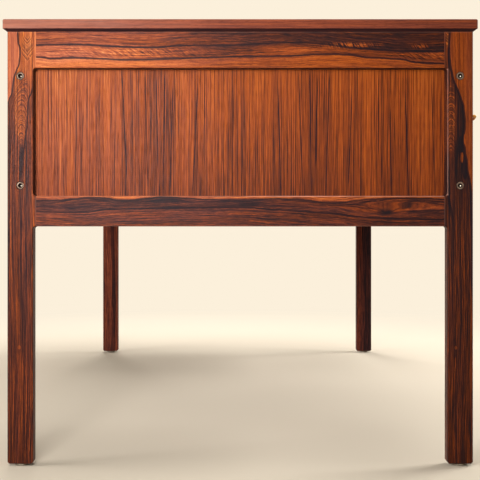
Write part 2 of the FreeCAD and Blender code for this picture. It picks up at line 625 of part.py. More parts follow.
def make_door():
    """The inset door with its lock, escutcheon, key and strike plate."""
    panel = box(DOOR_EDGE, DOOR_HINGE_EDGE, CASE_FRONT, FRONT_BACK, FRONT_LOW, FRONT_HIGH)
    panel = panel.makeFillet(FRONT_ARRIS, edges_on_face_y(panel, CASE_FRONT))
    escutcheon = make_escutcheon()
    wide_hole = keyhole(KEY_STEM_DIAMETER + 2 * KEY_HOLE_CLEARANCE)
    run_end = DOOR_EDGE + LOCK_BOLT_LENGTH + 2 * LOCK_BOLT_CLEARANCE
    lock = lock_block().cut(keyhole(KEY_STEM_DIAMETER + 2 * KEY_CLEARANCE))
    half = LOCK_BOLT_THICKNESS / 2
    bolt_start = DOOR_EDGE + LOCK_BOLT_CLEARANCE
    bolt_end = bolt_start + LOCK_BOLT_LENGTH
    return {
        "door_panel": panel.cut(lock_block()).cut(escutcheon).cut(wide_hole),
        "door_escutcheon": escutcheon.cut(wide_hole),
        "door_lock_case": lock.cut(bolt_space(DOOR_EDGE - OVERRUN, run_end)),
        "door_lock_bolt": box(
            bolt_start, bolt_end, LOCK_BOLT_Y - half, LOCK_BOLT_Y + half, LOCK_BOLT_LOW, LOCK_BOLT_HIGH
        ),
        "door_key": make_key(),
        "strike_plate": strike_block().cut(bolt_space(-OUTER_SIDE_FACE - STRIKE_THICKNESS, -OUTER_SIDE_FACE)),
    }


def make_hinge_leaf(level, sign_x, first_knuckle):
    """One leaf with every second knuckle of the hinge; the plate stands clear of the other leaf's knuckles."""
    near = sign_x * HINGE_LEAF_GAP / 2
    far = near + sign_x * HINGE_LEAF_THICKNESS
    low_x, high_x = sorted((HINGE_X + near, HINGE_X + far))
    plate_front = HINGE_Y + KNUCKLE_RADIUS + HINGE_KNUCKLE_GAP
    plate_back = plate_front + HINGE_LEAF_WIDTH
    pieces = []
    pitch = HINGE_HEIGHT / HINGE_KNUCKLE_COUNT
    for index in range(first_knuckle, HINGE_KNUCKLE_COUNT, 2):
        low = level + index * pitch + HINGE_KNUCKLE_GAP / 2
        high = low + pitch - HINGE_KNUCKLE_GAP
        pieces.append(box(low_x, high_x, HINGE_Y, plate_front, low, high))
        pieces.append(rod(HINGE_KNUCKLE_DIAMETER, high - low, HINGE_X, HINGE_Y, low, ALONG_Z))
    leaf = join(box(low_x, high_x, plate_front, plate_back, level, level + HINGE_HEIGHT), *pieces)
    bore = HINGE_PIN_DIAMETER + 2 * HINGE_PIN_CLEARANCE
    return leaf.cut(rod(bore, HINGE_HEIGHT, HINGE_X, HINGE_Y, level, ALONG_Z))


def make_hinge_pin(level):
    """A hinge pin with a bevelled head at each end."""
    low = level + HINGE_KNUCKLE_GAP / 2
    high = level + HINGE_HEIGHT - HINGE_KNUCKLE_GAP / 2
    pieces = []
    for start, outward in ((low, -1), (high, 1)):
        head = rod(HINGE_KNUCKLE_DIAMETER, HINGE_PIN_HEAD_HEIGHT, HINGE_X, HINGE_Y, start, ALONG_Z * outward)
        outer = start + outward * HINGE_PIN_HEAD_HEIGHT
        rim = [e for e in head.Edges if abs(e.CenterOfMass.z - outer) < SAME_PLANE]
        pieces.append(head.makeChamfer(HINGE_PIN_HEAD_BEVEL, rim))
    return join(rod(HINGE_PIN_DIAMETER, high - low, HINGE_X, HINGE_Y, low, ALONG_Z), *pieces)


def make_hinges():
    """Both hinges of the door, by kind of piece."""
    return {
        "case_hinge_leaves": Part.makeCompound([make_hinge_leaf(level, 1, 0) for level in HINGE_LEVELS]),
        "door_hinge_leaves": Part.makeCompound([make_hinge_leaf(level, -1, 1) for level in HINGE_LEVELS]),
        "hinge_pins": Part.makeCompound([make_hinge_pin(level) for level in HINGE_LEVELS]),
    }


def shelf_pin_places():
    """Where the four shelf pins leave their sides, and which way they point."""
    level = SHELF_UNDERSIDE + SHELF_PIN_SEAT - SHELF_PIN_DIAMETER / 2
    depths = (SHELF_FRONT + SHELF_PIN_INSET, BACK_FACE - SHELF_SETBACK - SHELF_PIN_INSET)
    return [(x, y, level, way) for x, way in ((-OUTER_SIDE_FACE, 1), (-INNER_SIDE_FACE, -1)) for y in depths]


def shelf_pin_holes():
    """Blind holes for the shelf pins."""
    grown = SHELF_PIN_DIAMETER + 2 * SHELF_PIN_CLEARANCE
    deep = SHELF_PIN_DEPTH + SHELF_PIN_CLEARANCE
    return Part.makeCompound([rod(grown, deep, x, y, z, ALONG_X * -way) for x, y, z, way in shelf_pin_places()])


def make_shelf():
    """The loose shelf and the four brass pins with flats that it lies on."""
    low_x = SHELF_END_CLEARANCE - OUTER_SIDE_FACE
    high_x = -INNER_SIDE_FACE - SHELF_END_CLEARANCE
    high_z = SHELF_UNDERSIDE + SHELF_THICKNESS
    shelf = box(low_x, high_x, SHELF_FRONT, BACK_FACE - SHELF_SETBACK, SHELF_UNDERSIDE, high_z)
    pins = []
    for x, y, z, way in shelf_pin_places():
        start = x - way * SHELF_PIN_DEPTH
        pin = rod(SHELF_PIN_DIAMETER, SHELF_PIN_DEPTH + SHELF_PIN_STAND, start, y, z, ALONG_X * way)
        pins.append(pin.cut(shelf))
    shelf_edges = edges_on_face_y(shelf, SHELF_FRONT)
    return {"cabinet_shelf": shelf.makeFillet(CASE_ARRIS, shelf_edges), "shelf_pins": Part.makeCompound(pins)}


# Drawers in the right pedestal

def drawer_levels():
    """Underside and top of each drawer front, from the top drawer down."""
    levels = []
    high = FRONT_HIGH
    for share in DRAWER_HEIGHT_SHARES:
        low = high - share * DRAWER_SPAN
        levels.append((low, high))
        high = low - FRONT_GAP
    return levels


def drawer_side_levels(low, high):
    """Underside and top of a drawer's sides."""
    return low + DRAWER_SIDE_RISE, high - DRAWER_SIDE_DROP


def make_drawer_front(low, high):
    """A drawer front with a half-moon finger pull in its upper edge."""
    board = box(DRAWER_LEFT, DRAWER_RIGHT, CASE_FRONT, FRONT_BACK, low, high)
    radius = (PULL_WIDTH ** 2 / 4 + PULL_DEPTH ** 2) / (2 * PULL_DEPTH)
    middle = (DRAWER_LEFT + DRAWER_RIGHT) / 2
    moon = rod(2 * radius, FRONT_THICKNESS, middle, CASE_FRONT, high - PULL_DEPTH + radius, ALONG_Y)
    front = board.cut(moon)
    shoulders = []
    for edge in front.Edges:
        bounds = edge.BoundBox
        deep = bounds.YLength > FRONT_THICKNESS / 2
        if deep and bounds.ZMin > high - PULL_DEPTH / 2 and abs(bounds.Center.x - middle) < PULL_WIDTH:
            shoulders.append(edge)
    front = front.makeFillet(PULL_SHOULDER_RADIUS, shoulders)
    return front.makeFillet(FRONT_ARRIS, edges_on_face_y(front, CASE_FRONT))


def make_drawer_tails(x0, x1, low, high):
    """The dovetails at the front end of a drawer side, wider at their tips."""
    pitch = (high - low) / DOVETAIL_COUNT
    half_root = pitch * DOVETAIL_WIDTH_SHARE / 2
    half_tip = half_root + DOVETAIL_SPREAD
    tip_y = FRONT_BACK - DOVETAIL_LENGTH
    tails = []
    for index in range(DOVETAIL_COUNT):
        z = low + (index + 1 / 2) * pitch
        outline = [
            Vector(x0, FRONT_BACK, z - half_root),
            Vector(x0, FRONT_BACK, z + half_root),
            Vector(x0, tip_y, z + half_tip),
            Vector(x0, tip_y, z - half_tip),
        ]
        tails.append(prism(outline, ALONG_X * (x1 - x0)))
    return tails


def runner_groove(low, high, left):
    """The groove along one drawer side that rides on its runner."""
    middle = (low + high) / 2
    half = RUNNER_HEIGHT / 2 + RUNNER_CLEARANCE
    depth = RUNNER_DEPTH - FRONT_GAP + RUNNER_CLEARANCE
    x0, x1 = (DRAWER_LEFT, DRAWER_LEFT + depth) if left else (DRAWER_RIGHT - depth, DRAWER_RIGHT)
    return box(x0, x1, FRONT_BACK, DRAWER_REAR, middle - half, middle + half)


def make_drawer(name, low, high):
    """One drawer: front, two dovetailed sides, back and bottom."""
    side_low, side_high = drawer_side_levels(low, high)
    inner_left = DRAWER_LEFT + DRAWER_SIDE_THICKNESS
    inner_right = DRAWER_RIGHT - DRAWER_SIDE_THICKNESS
    bottom_low = side_low + DRAWER_BOTTOM_RISE
    bottom_high = bottom_low + DRAWER_BOTTOM_THICKNESS
    bottom = box(
        inner_left - DRAWER_BOTTOM_HOUSING, inner_right + DRAWER_BOTTOM_HOUSING,
        FRONT_BACK - DRAWER_BOTTOM_HOUSING, DRAWER_REAR, bottom_low, bottom_high,
    )
    back_y = DRAWER_REAR - DRAWER_BACK_INSET
    back = box(
        inner_left - DRAWER_BACK_HOUSING, inner_right + DRAWER_BACK_HOUSING,
        back_y - DRAWER_BACK_THICKNESS, back_y, bottom_high, side_high - DRAWER_BACK_DROP,
    )
    front = make_drawer_front(low, high).cut(bottom)
    nodes = {}
    for hand, x0, x1 in (("left", DRAWER_LEFT, inner_left), ("right", inner_right, DRAWER_RIGHT)):
        tails = make_drawer_tails(x0, x1, side_low, side_high)
        front = front.cut(Part.makeCompound(tails))
        side = join(box(x0, x1, FRONT_BACK, DRAWER_REAR, side_low, side_high), *tails)
        side = side.cut(bottom).cut(back).cut(runner_groove(side_low, side_high, hand == "left"))
        nodes[f"{name}_{hand}_side"] = side
    nodes[f"{name}_front"] = front
    nodes[f"{name}_back"] = back
    nodes[f"{name}_bottom"] = bottom
    return nodes


def make_runner(low, high):
    """The runner on the inner side of the right pedestal for one drawer, its front end eased."""
    middle = (low + high) / 2
    start = FRONT_BACK + RUNNER_STOP_GAP
    inner = INNER_SIDE_FACE + RUNNER_DEPTH
    half = RUNNER_HEIGHT / 2
    outline = [
        (INNER_SIDE_FACE, start),
        (inner - RUNNER_LEAD, start),
        (inner, start + RUNNER_LEAD),
        (inner, RUNNER_REAR),
        (INNER_SIDE_FACE, RUNNER_REAR),
    ]
    return prism([Vector(x, y, middle - half) for x, y in outline], ALONG_Z * 2 * half)


def make_runners():
    """A pair of runners for each drawer."""
    centre = Vector((INNER_SIDE_FACE + OUTER_SIDE_FACE) / 2, 0, 0)
    runners = []
    for low, high in drawer_levels():
        runner = make_runner(*drawer_side_levels(low, high))
        runners += [runner, runner.mirror(centre, ALONG_X)]
    return Part.makeCompound(runners)


def make_desk():
    """Every piece of the desk by its node name."""
    nodes = make_top()
    for name, piece in make_left_frame().items():
        nodes["left_" + name] = piece
        nodes["right_" + name] = mirrored(piece)
    nodes["leg_glides"] = make_glides()
    nodes.update(make_bolts_and_inserts())
    nodes.update(make_case())
    nodes["top_screws"] = Part.makeCompound(make_top_screws(0))
    nodes.update(make_door())
    nodes.update(make_hinges())
    nodes.update(make_shelf())
    for name, (low, high) in zip(("top_drawer", "middle_drawer", "bottom_drawer"), drawer_levels()):
        nodes.update(make_drawer(name, low, high))
    nodes["drawer_runners"] = make_runners()
    return nodes


os.makedirs("parts", exist_ok=True)
for node, shape in make_desk().items():
    shape.exportStep(f"parts/{node}.step")
    print(node, len(shape.Solids), "solids, valid", shape.isValid(), f"{shape.Volume / 1000:.1f} cm3")
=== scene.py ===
# %% [markdown]
# # A writing desk in figured rosewood
# The CAD frame holds every board, leg, hinge and drawer of the desk at its real size. This lesson gives
# those pieces their looks: first the camera and the light, then the woods, then the metal, and at the end
# a key and the small screws that a maker would add. The boards stay where the CAD put them, because a desk
# whose boards move in the dressing no longer fits together.

# %% Load the frame
import math
from functools import partialmethod

import bmesh
import bpy
from mathutils import Color, Matrix, Vector


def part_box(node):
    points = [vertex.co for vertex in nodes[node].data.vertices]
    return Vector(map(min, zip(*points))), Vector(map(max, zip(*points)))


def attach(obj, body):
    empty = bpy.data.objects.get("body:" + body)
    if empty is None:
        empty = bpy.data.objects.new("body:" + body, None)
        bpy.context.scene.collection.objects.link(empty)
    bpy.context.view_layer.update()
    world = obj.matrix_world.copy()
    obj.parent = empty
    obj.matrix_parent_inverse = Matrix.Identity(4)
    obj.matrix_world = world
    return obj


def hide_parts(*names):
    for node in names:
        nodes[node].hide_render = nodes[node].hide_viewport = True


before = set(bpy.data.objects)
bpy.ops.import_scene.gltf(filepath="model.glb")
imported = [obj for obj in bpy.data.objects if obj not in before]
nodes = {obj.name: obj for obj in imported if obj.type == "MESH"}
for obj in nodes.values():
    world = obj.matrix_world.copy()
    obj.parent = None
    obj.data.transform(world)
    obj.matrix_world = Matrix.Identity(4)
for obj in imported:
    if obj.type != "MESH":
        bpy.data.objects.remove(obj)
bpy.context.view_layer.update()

# %% [markdown]
# ## Camera
# The photograph looks square at the left end of the desk, from the height of the lower rail. The upright
# lines stay upright in it, so the camera looks level and its frame is shifted down, as with a view camera.
# The picture is a square of 480 pixels, and the lens points at one pixel of it, which gives the shift.

# %% Set up the camera
PICTURE_PIXELS = 480.0
LENS_PIXEL = (233.1, 198.0)
MIDDLE_SHARE = 0.5
CAMERA_PLACE = (-2.723, 0.0116, 0.4385)
LENS_MM = 90.9
SENSOR_MM = 36.0
QUARTER_TURN = math.radians(90)

lens = bpy.data.cameras.new("end_view")
lens.sensor_width = SENSOR_MM
lens.lens = LENS_MM
lens.shift_x = MIDDLE_SHARE - LENS_PIXEL[0] / PICTURE_PIXELS
lens.shift_y = LENS_PIXEL[1] / PICTURE_PIXELS - MIDDLE_SHARE
camera = bpy.data.objects.new("end_view", lens)
camera.location = CAMERA_PLACE
camera.rotation_euler = (QUARTER_TURN, 0, -QUARTER_TURN)
bpy.context.scene.collection.objects.link(camera)
bpy.context.scene.camera = camera
bpy.context.scene.view_settings.view_transform = "Standard"
print("camera shift", round(lens.shift_x, 4), round(lens.shift_y, 4))

# %% [markdown]
# ## Sums on surfaces
# A shader is a sum that Blender works out at every point of a surface. Wiring its Math nodes one by one
# makes long code, so a field here is one output of a node tree, and adding or multiplying fields adds the
# nodes. A figure in the wood can then be written almost as it is thought of.

# %% Fields over a surface
class Field:
    """A number, or a vector, that changes over a surface."""

    def __init__(self, socket):
        self.socket = socket
        self.tree = socket.id_data

    def math(self, operation, *others):
        """A new field, from one Math node on this field and others."""
        made = self.tree.nodes.new("ShaderNodeMath")
        made.operation = operation
        for socket, value in zip(made.inputs, (self, *others)):
            feed(socket, value)
        return Field(made.outputs[0])

    def __rsub__(self, other):
        return self * -1 + other

    __add__ = __radd__ = partialmethod(math, "ADD")
    __mul__ = __rmul__ = partialmethod(math, "MULTIPLY")
    __sub__ = partialmethod(math, "SUBTRACT")
    __truediv__ = partialmethod(math, "DIVIDE")
    __abs__ = partialmethod(math, "ABSOLUTE")


def feed(socket, value):
    """A socket gets a field, or a plain value."""
    if isinstance(value, Field):
        socket.id_data.links.new(value.socket, socket)
    else:
        socket.default_value = value


def add_node(tree, kind, settings={}, **values):
    """The first output of a new node; each socket that is named gets its field or plain value."""
    made = tree.nodes.new(kind)
    for name, value in settings.items():
        setattr(made, name, value)
    for name, value in values.items():
        feed(made.inputs[name.replace("_", " ")], value)
    return Field(made.outputs[0])


def fade(field, start, end):
    """0 before start and 1 past end, with a soft step between; start may be the larger one."""
    soft = {"interpolation_type": "SMOOTHSTEP"}
    return add_node(field.tree, "ShaderNodeMapRange", soft, Value=field, From_Min=start, From_Max=end)


def blend(first, second, share):
    """first where share is 0, second where it is 1."""
    return (second - first) * share + first


def most(first, *others):
    """The largest of some fields."""
    for other in others:
        first = first.math("MAXIMUM", other)
    return first


def distance(u, v):
    """How far a place lies from an axis, from its two offsets."""
    return (u * u + v * v).math("SQRT")


def together(x, y, z):
    """Three fields as one vector."""
    return add_node(x.tree, "ShaderNodeCombineXYZ", X=x, Y=y, Z=z)


def apart(place):
    """A vector as three fields, by letter."""
    split = place.tree.nodes.new("ShaderNodeSeparateXYZ")
    feed(split.inputs[0], place)
    return {letter: Field(split.outputs[letter]) for letter in "XYZ"}


print("names that a field answers to:", len(vars(Field)))

# %% [markdown]
# Most marks in wood can be made from noise: soft random spots, drawn out long along the grain and kept narrow
# across it. How many there are is counted per metre. A line that leads the eye is not left to chance: it is
# drawn through a few given points. Colours are judged and turned into light.

# %% Marks and colours
FULL_TONE = 255


def noise(place, counts, detail=2.0, roughness=MIDDLE_SHARE):
    """Soft random marks between 0 and 1, so many per metre along each direction."""
    counted = add_node(place.tree, "ShaderNodeMapping", Vector=place, Scale=counts)
    kind = "ShaderNodeTexNoise"
    return add_node(place.tree, kind, Vector=counted, Scale=1.0, Detail=detail, Roughness=roughness)


def swing(place, counts, detail=2.0, roughness=MIDDLE_SHARE):
    """The same marks, swinging about zero."""
    return noise(place, counts, detail, roughness) - MIDDLE_SHARE


def ridges(place, counts, thin, detail=1.0):
    """Thin tapering lines, where soft marks pass through their middle value."""
    return fade(abs(swing(place, counts, detail)), thin, 0)


def stripes(field, count, detail=2.0):
    """Random stripes along one field only."""
    flat = {"noise_dimensions": "1D"}
    return add_node(field.tree, "ShaderNodeTexNoise", flat, W=field, Scale=count, Detail=detail)


def drawn_line(along, points):
    """A smooth line drawn through a few given points of (share along, share across)."""
    made = along.tree.nodes.new("ShaderNodeFloatCurve")
    line = made.mapping.curves[0]
    line.points[0].location = points[0]
    line.points[1].location = points[-1]
    for point in points[1:-1]:
        line.points.new(*point)
    made.mapping.update()
    feed(made.inputs["Value"], along)
    return Field(made.outputs["Value"])


def spot(along, across, centre, spread):
    """A soft round spot, 1 in its middle."""
    u = (along - centre[0]) / spread[0]
    v = (across - centre[1]) / spread[1]
    return ((u * u + v * v) * -1).math("EXPONENT")


def spots(along, across, places):
    """Several soft spots together; each place is a centre and a spread."""
    return most(*[spot(along, across, *place) for place in places])


def paint(red, green, blue):
    """A colour as it is read off a picture, 0 to 255, turned into the light that Blender works with."""
    seen = Color([tone / FULL_TONE for tone in (red, green, blue)])
    return (*seen.from_srgb_to_scene_linear(), 1.0)


def tinted(field, stops):
    """A colour for each value of a field, from stops of (share, colour)."""
    made = field.tree.nodes.new("ShaderNodeValToRGB")
    elements = made.color_ramp.elements
    while len(elements) < len(stops):
        elements.new(MIDDLE_SHARE)
    for element, (share, colour) in zip(elements, stops):
        element.position = share
        element.color = colour
    feed(made.inputs["Fac"], field)
    return Field(made.outputs["Color"])


def washed(below, above, share):
    """One colour laid over another; share says how much of it covers."""
    tree = next(value.tree for value in (share, below, above) if isinstance(value, Field))
    made = tree.nodes.new("ShaderNodeMix")
    made.data_type = "RGBA"
    sockets = {socket.identifier: socket for socket in (*made.inputs, *made.outputs)}
    feed(sockets["Factor_Float"], share)
    feed(sockets["A_Color"], below)
    feed(sockets["B_Color"], above)
    return Field(sockets["Result_Color"])


print("gold as light:", [round(value, 3) for value in paint(205, 115, 55)])

# %% [markdown]
# ## Floor and light
# A studio sweep is one pale surface that runs from the floor up behind the object. Here the floor is a
# wide round sheet, and it turns into the plain backdrop colour before the horizon, so that the desk can be
# seen from every side. The floor's own material still takes the desk's shadow. Light that comes back from
# the floor to the desk is darker than the floor looks, as over brown boards, so the undersides stay dark.

# %% Floor and backdrop
BACKDROP_COLOUR = paint(252, 240, 219)
FLOOR_COLOUR = paint(222, 210, 190)
FLOOR_BOUNCE_COLOUR = paint(120, 98, 74)
FLOOR_RADIUS = 14.0
FLOOR_SIDES = 96
FADE_START = 0.95
FADE_END = 2.0
SEEN_KINDS = ("Camera", "Glossy", "Transmission")


def new_material(name):
    """A material with an empty tree."""
    material = bpy.data.materials.new(name)
    material.use_nodes = True
    material.node_tree.nodes.clear()
    return material


def desk_place(material):
    """Every point of a piece, measured in the desk's own frame."""
    return Field(material.node_tree.nodes.new("ShaderNodeTexCoord").outputs["Object"])


def seen_rays(tree):
    """1 for rays that come from the camera, straight or by way of a shine."""
    path = tree.nodes.new("ShaderNodeLightPath")
    return most(*[Field(path.outputs[f"Is {kind} Ray"]) for kind in SEEN_KINDS])


def mixed_shader(first, second, share):
    """Two shaders in one; share says how much of the second one shows."""
    made = share.tree.nodes.new("ShaderNodeMixShader")
    for socket, value in zip(made.inputs, (share, first, second)):
        feed(socket, value)
    return Field(made.outputs[0])


def show(shader, kind="ShaderNodeOutputMaterial"):
    """A shader goes to the output of its tree."""
    feed(shader.tree.nodes.new(kind).inputs["Surface"], shader)


def floor_material():
    """A floor that takes shadows round the desk and turns into the backdrop further out."""
    material = new_material("pale_floor")
    tree = material.node_tree
    sides = apart(desk_place(material))
    seen = seen_rays(tree)
    far = fade(distance(sides["X"], sides["Y"]), FADE_START, FADE_END) * seen
    sheet = add_node(tree, "ShaderNodeBsdfDiffuse", Color=washed(FLOOR_BOUNCE_COLOUR, FLOOR_COLOUR, seen))
    backdrop = add_node(tree, "ShaderNodeEmission", Color=BACKDROP_COLOUR)
    show(mixed_shader(sheet, backdrop, far))
    return material


def new_object(name, work, *materials):
    """The mesh that was worked on, as an object in the scene."""
    mesh = bpy.data.meshes.new(name)
    work.to_mesh(mesh)
    work.free()
    for material in materials:
        mesh.materials.append(material)
    made = bpy.data.objects.new(name, mesh)
    bpy.context.scene.collection.objects.link(made)
    return made


def floor_sheet():
    """A wide round sheet on the ground."""
    work = bmesh.new()
    bmesh.ops.create_circle(work, cap_ends=True, segments=FLOOR_SIDES, radius=FLOOR_RADIUS)
    floor = new_object("floor", work, floor_material())
    return floor


print("corners of the floor sheet:", len(floor_sheet().data.vertices))

# %% [markdown]
# A small soft box stands left of the camera and nearer to the desk. It lights the near end almost from the
# front, so that the left leg is brighter than the right one and the lacquer shines there, and a grid on it
# keeps its light together. Four bare boxes stand round the desk, one for each of the other sides and one
# overhead, where little of their light falls on the near end. The studio itself gives back a little light
# from every side.

# %% Lamps and studio
STUDIO_LIGHT = 0.20
BARE_SPREAD = math.radians(180)
GRID_SPREAD = math.radians(100)
# Each row: name, watts, place, the point that it faces, width and height, spread of its light.
LAMPS = (
    ("near_end", 5.6, (-1.80, 0.34, 0.66), (-0.72, 0.13, 0.50), (0.40, 0.40), GRID_SPREAD),
    ("back", 46.0, (-0.95, 2.70, 1.00), (-0.10, 0.30, 0.50), (1.60, 1.00), BARE_SPREAD),
    ("front", 66.0, (0.70, -2.45, 2.15), (0.10, -0.35, 0.50), (1.60, 1.00), BARE_SPREAD),
    ("far_end", 44.0, (2.90, 0.50, 1.30), (0.75, 0.0, 0.50), (1.20, 1.00), BARE_SPREAD),
    ("overhead", 52.0, (0.20, -0.20, 2.90), (0.10, -0.05, 0.70), (2.40, 1.60), BARE_SPREAD),
)


def soft_box(name, watts, place, aim, size, spread):
    """A lamp with a wide soft face, which the camera doesn't see."""
    lamp = bpy.data.lights.new(name, "AREA")
    lamp.shape = "RECTANGLE"
    lamp.size, lamp.size_y = size
    lamp.spread = spread
    lamp.energy = watts
    box = bpy.data.objects.new(name, lamp)
    box.location = place
    box.rotation_euler = (Vector(aim) - Vector(place)).to_track_quat("-Z", "Y").to_euler()
    box.visible_camera = False
    bpy.context.scene.collection.objects.link(box)


def studio_world():
    """The studio round the desk: a pale backdrop that gives only a little light."""
    world = bpy.data.worlds.new("studio")
    world.use_nodes = True
    tree = world.node_tree
    tree.nodes.clear()
    given = add_node(tree, "ShaderNodeBackground", Color=BACKDROP_COLOUR, Strength=STUDIO_LIGHT)
    shown = add_node(tree, "ShaderNodeBackground", Color=BACKDROP_COLOUR)
    show(mixed_shader(given, shown, seen_rays(tree)), "ShaderNodeOutputWorld")
    bpy.context.scene.world = world


for lamp_values in LAMPS:
    soft_box(*lamp_values)
studio_world()
print("lamps:", len(LAMPS))

# %% [markdown]
# ## Rosewood
# Rosewood is brown and orange in bands, with black lines between them that look drawn with ink. The wood is
# full of open pores, short dark dashes along the grain. Every rosewood piece of the desk shares one recipe.
# A zone says how dark the wood is, and ink says where the black lines are; on the near end frame ink also
# carries painted shade, and the pale wash of worn edges also carries painted highlight and sheen. Needles,
# threads, fibres, dashes and pores run along the grain, each finer than the one before, so that the wood
# looks right from across the room and from close by. The grain is a bent measure: its second direction
# counts across the growth lines, wherever they turn.

# %% The recipe for rosewood
GOLD_STOPS = (
    (0.00, paint(236, 150, 66)), (0.22, paint(207, 112, 38)), (0.42, paint(169, 80, 25)),
    (0.60, paint(122, 54, 21)), (0.80, paint(68, 33, 22)), (1.00, paint(32, 22, 24)),
)
ROSE_STOPS = (
    (0.00, paint(226, 146, 96)), (0.22, paint(196, 110, 70)), (0.42, paint(158, 79, 52)),
    (0.60, paint(116, 58, 44)), (0.80, paint(72, 39, 37)), (1.00, paint(36, 26, 31)),
)
INK_COLOUR = paint(26, 20, 25)
PORE_COLOUR = paint(44, 23, 19)
# This pale colour is washed onto worn edges, and also serves as painted highlight and sheen.
WEAR_AND_HIGHLIGHT_COLOUR = paint(214, 154, 132)
PLANK_STEP = 3.7
BROKEN_SHARE = 0.60
HUES_PER_M = (2.4, 55.0, 55.0)
PATCHES_PER_M = (3.2, 40.0, 40.0)
NEEDLES_PER_M = (3.4, 110.0, 110.0)
THREADS_PER_M = (5.0, 380.0, 380.0)
FIBRES_PER_M = (4.0, 500.0, 500.0)
DASHES_PER_M = (36.0, 620.0, 620.0)
PORES_PER_M = (120.0, 2300.0, 2300.0)
SHEEN_PER_M = (14.0, 60.0, 60.0)
NEEDLE_THIN_SHARE = 0.040
THREAD_THIN_SHARE = 0.075
FIGURE_SHARES = {"needles": 0.12, "threads": 0.20, "fibres": 1.00, "dashes": 0.55, "hues": 1.5}
PATCH_SHARES = (0.42, 0.62)
ROSE_SHARE = 0.30
PORE_SHARES = (0.62, 0.74)
PORE_STRENGTH_SHARE = 0.50
WEAR_AND_HIGHLIGHT_SHARE = 0.55
PORE_DEPTH = 0.00008
WEAR_REACH = 0.0022
SATIN_SHARE = 0.44
SATIN_SWING_SHARE = 0.14
PORE_ROUGH_SHARE = 0.20
SATIN_LEVEL = 0.07


def wood(label, order, plank):
    """A wood material, its directions (along the grain, across the face, into it) and places on its plank."""
    material = new_material(label)
    sides = apart(desk_place(material))
    axes = [sides[letter] for letter in order]
    along, across, depth = axes
    return material, axes, together(along + plank * PLANK_STEP, across, depth)


def edge_wear(axes, order, low, high):
    """1 on the edges of a piece's box and 0 a little way in, from the second nearest pair of faces."""
    gaps = []
    for field, letter in zip(axes, order):
        side = "XYZ".index(letter)
        gaps.append((field - low[side]).math("MINIMUM", high[side] - field))
    nearest = gaps[0].math("MINIMUM", gaps[1])
    farther = most(gaps[0], gaps[1])
    return fade(most(nearest, farther.math("MINIMUM", gaps[2])), WEAR_REACH, 0)


def surface(colour, roughness, height, press=1.0, **values):
    """A finished surface with its fine relief pressed in; values go to the shader's other sockets."""
    tree = colour.tree
    relief = add_node(tree, "ShaderNodeBump", Height=height, Distance=PORE_DEPTH, Strength=press)
    kind = "ShaderNodeBsdfPrincipled"
    show(add_node(tree, kind, Base_Color=colour, Roughness=roughness, Normal=relief, **values))


def satin(colour, roughness, height):
    """The surface of an oiled or thinly lacquered wood."""
    surface(colour, roughness, height, Specular_IOR_Level=SATIN_LEVEL)


def rosewood_surface(grain, zone, ink, wear, strength=1.0, rose=ROSE_SHARE, shares=FIGURE_SHARES):
    """Colour, roughness and relief of rosewood from its zones, grain and ink."""
    patches = fade(noise(grain, PATCHES_PER_M, detail=1.0), *PATCH_SHARES)
    needles = ridges(grain, NEEDLES_PER_M, NEEDLE_THIN_SHARE) * patches
    threads = ridges(grain, THREADS_PER_M, THREAD_THIN_SHARE)
    fibres = swing(grain, FIBRES_PER_M, detail=3.0, roughness=BROKEN_SHARE)
    dashes = swing(grain, DASHES_PER_M, roughness=BROKEN_SHARE)
    pores = fade(noise(grain, PORES_PER_M, detail=0.0), *PORE_SHARES)
    sheen = noise(grain, SHEEN_PER_M)
    figure = needles * shares["needles"] + threads * shares["threads"]
    figure = figure + fibres * shares["fibres"] + dashes * shares["dashes"]
    darkness = figure * strength + zone
    hue = swing(grain, HUES_PER_M) * shares["hues"] + rose
    colour = washed(tinted(darkness, GOLD_STOPS), tinted(darkness, ROSE_STOPS), hue)
    colour = washed(colour, PORE_COLOUR, pores * PORE_STRENGTH_SHARE)
    # Ink is the wood's black lines, and on the near end frame it also carries painted shade.
    colour = washed(colour, INK_COLOUR, ink)
    # This pale wash is real edge wear, and also painted highlight and sheen where callers add them.
    colour = washed(colour, WEAR_AND_HIGHLIGHT_COLOUR, wear * sheen * WEAR_AND_HIGHLIGHT_SHARE)
    roughness = pores * PORE_ROUGH_SHARE + (sheen - MIDDLE_SHARE) * SATIN_SWING_SHARE + SATIN_SHARE
    satin(colour, roughness, fibres - pores)


def dress(name, material):
    """A CAD piece gets its finish."""
    nodes[name].data.materials.clear()
    nodes[name].data.materials.append(material)
    dressed.append(name)


dressed = []
print("tones from gold to black:", len(GOLD_STOPS))

# %% [markdown]
# ## Solid rosewood
# Legs, rails and lippings are sawn from the solid. A sawn piece is a slice of the tree, so its figure is
# made in three dimensions: rings round a heart that lies outside the piece, pushed about by slow noise. The
# same rings then show on the face, on the edge and on the end grain, and they meet at the corners. Broad
# stripes along the rings make light and dark bands, and ink lies where a band ends.

# %% Solid pieces
BANDS_PER_M = 46.0
SLOW_PER_M = (2.2, 11.0, 11.0)
QUICK_PER_M = (12.0, 60.0, 60.0)
SLOW_PUSH = 0.026
QUICK_PUSH = 0.004
BAND_SHARES = (0.46, 0.54)
INK_BAND_SHARES = (0.030, 0.008)
INK_BREAK_SHARES = (0.42, 0.54)
INK_SHARE = 0.88
PAINTED_SHEEN_SHARE = 0.9
BEVEL_SHADE_SHARE = 0.36
LIPPING_BEVEL = (0.0050, 0.0044)


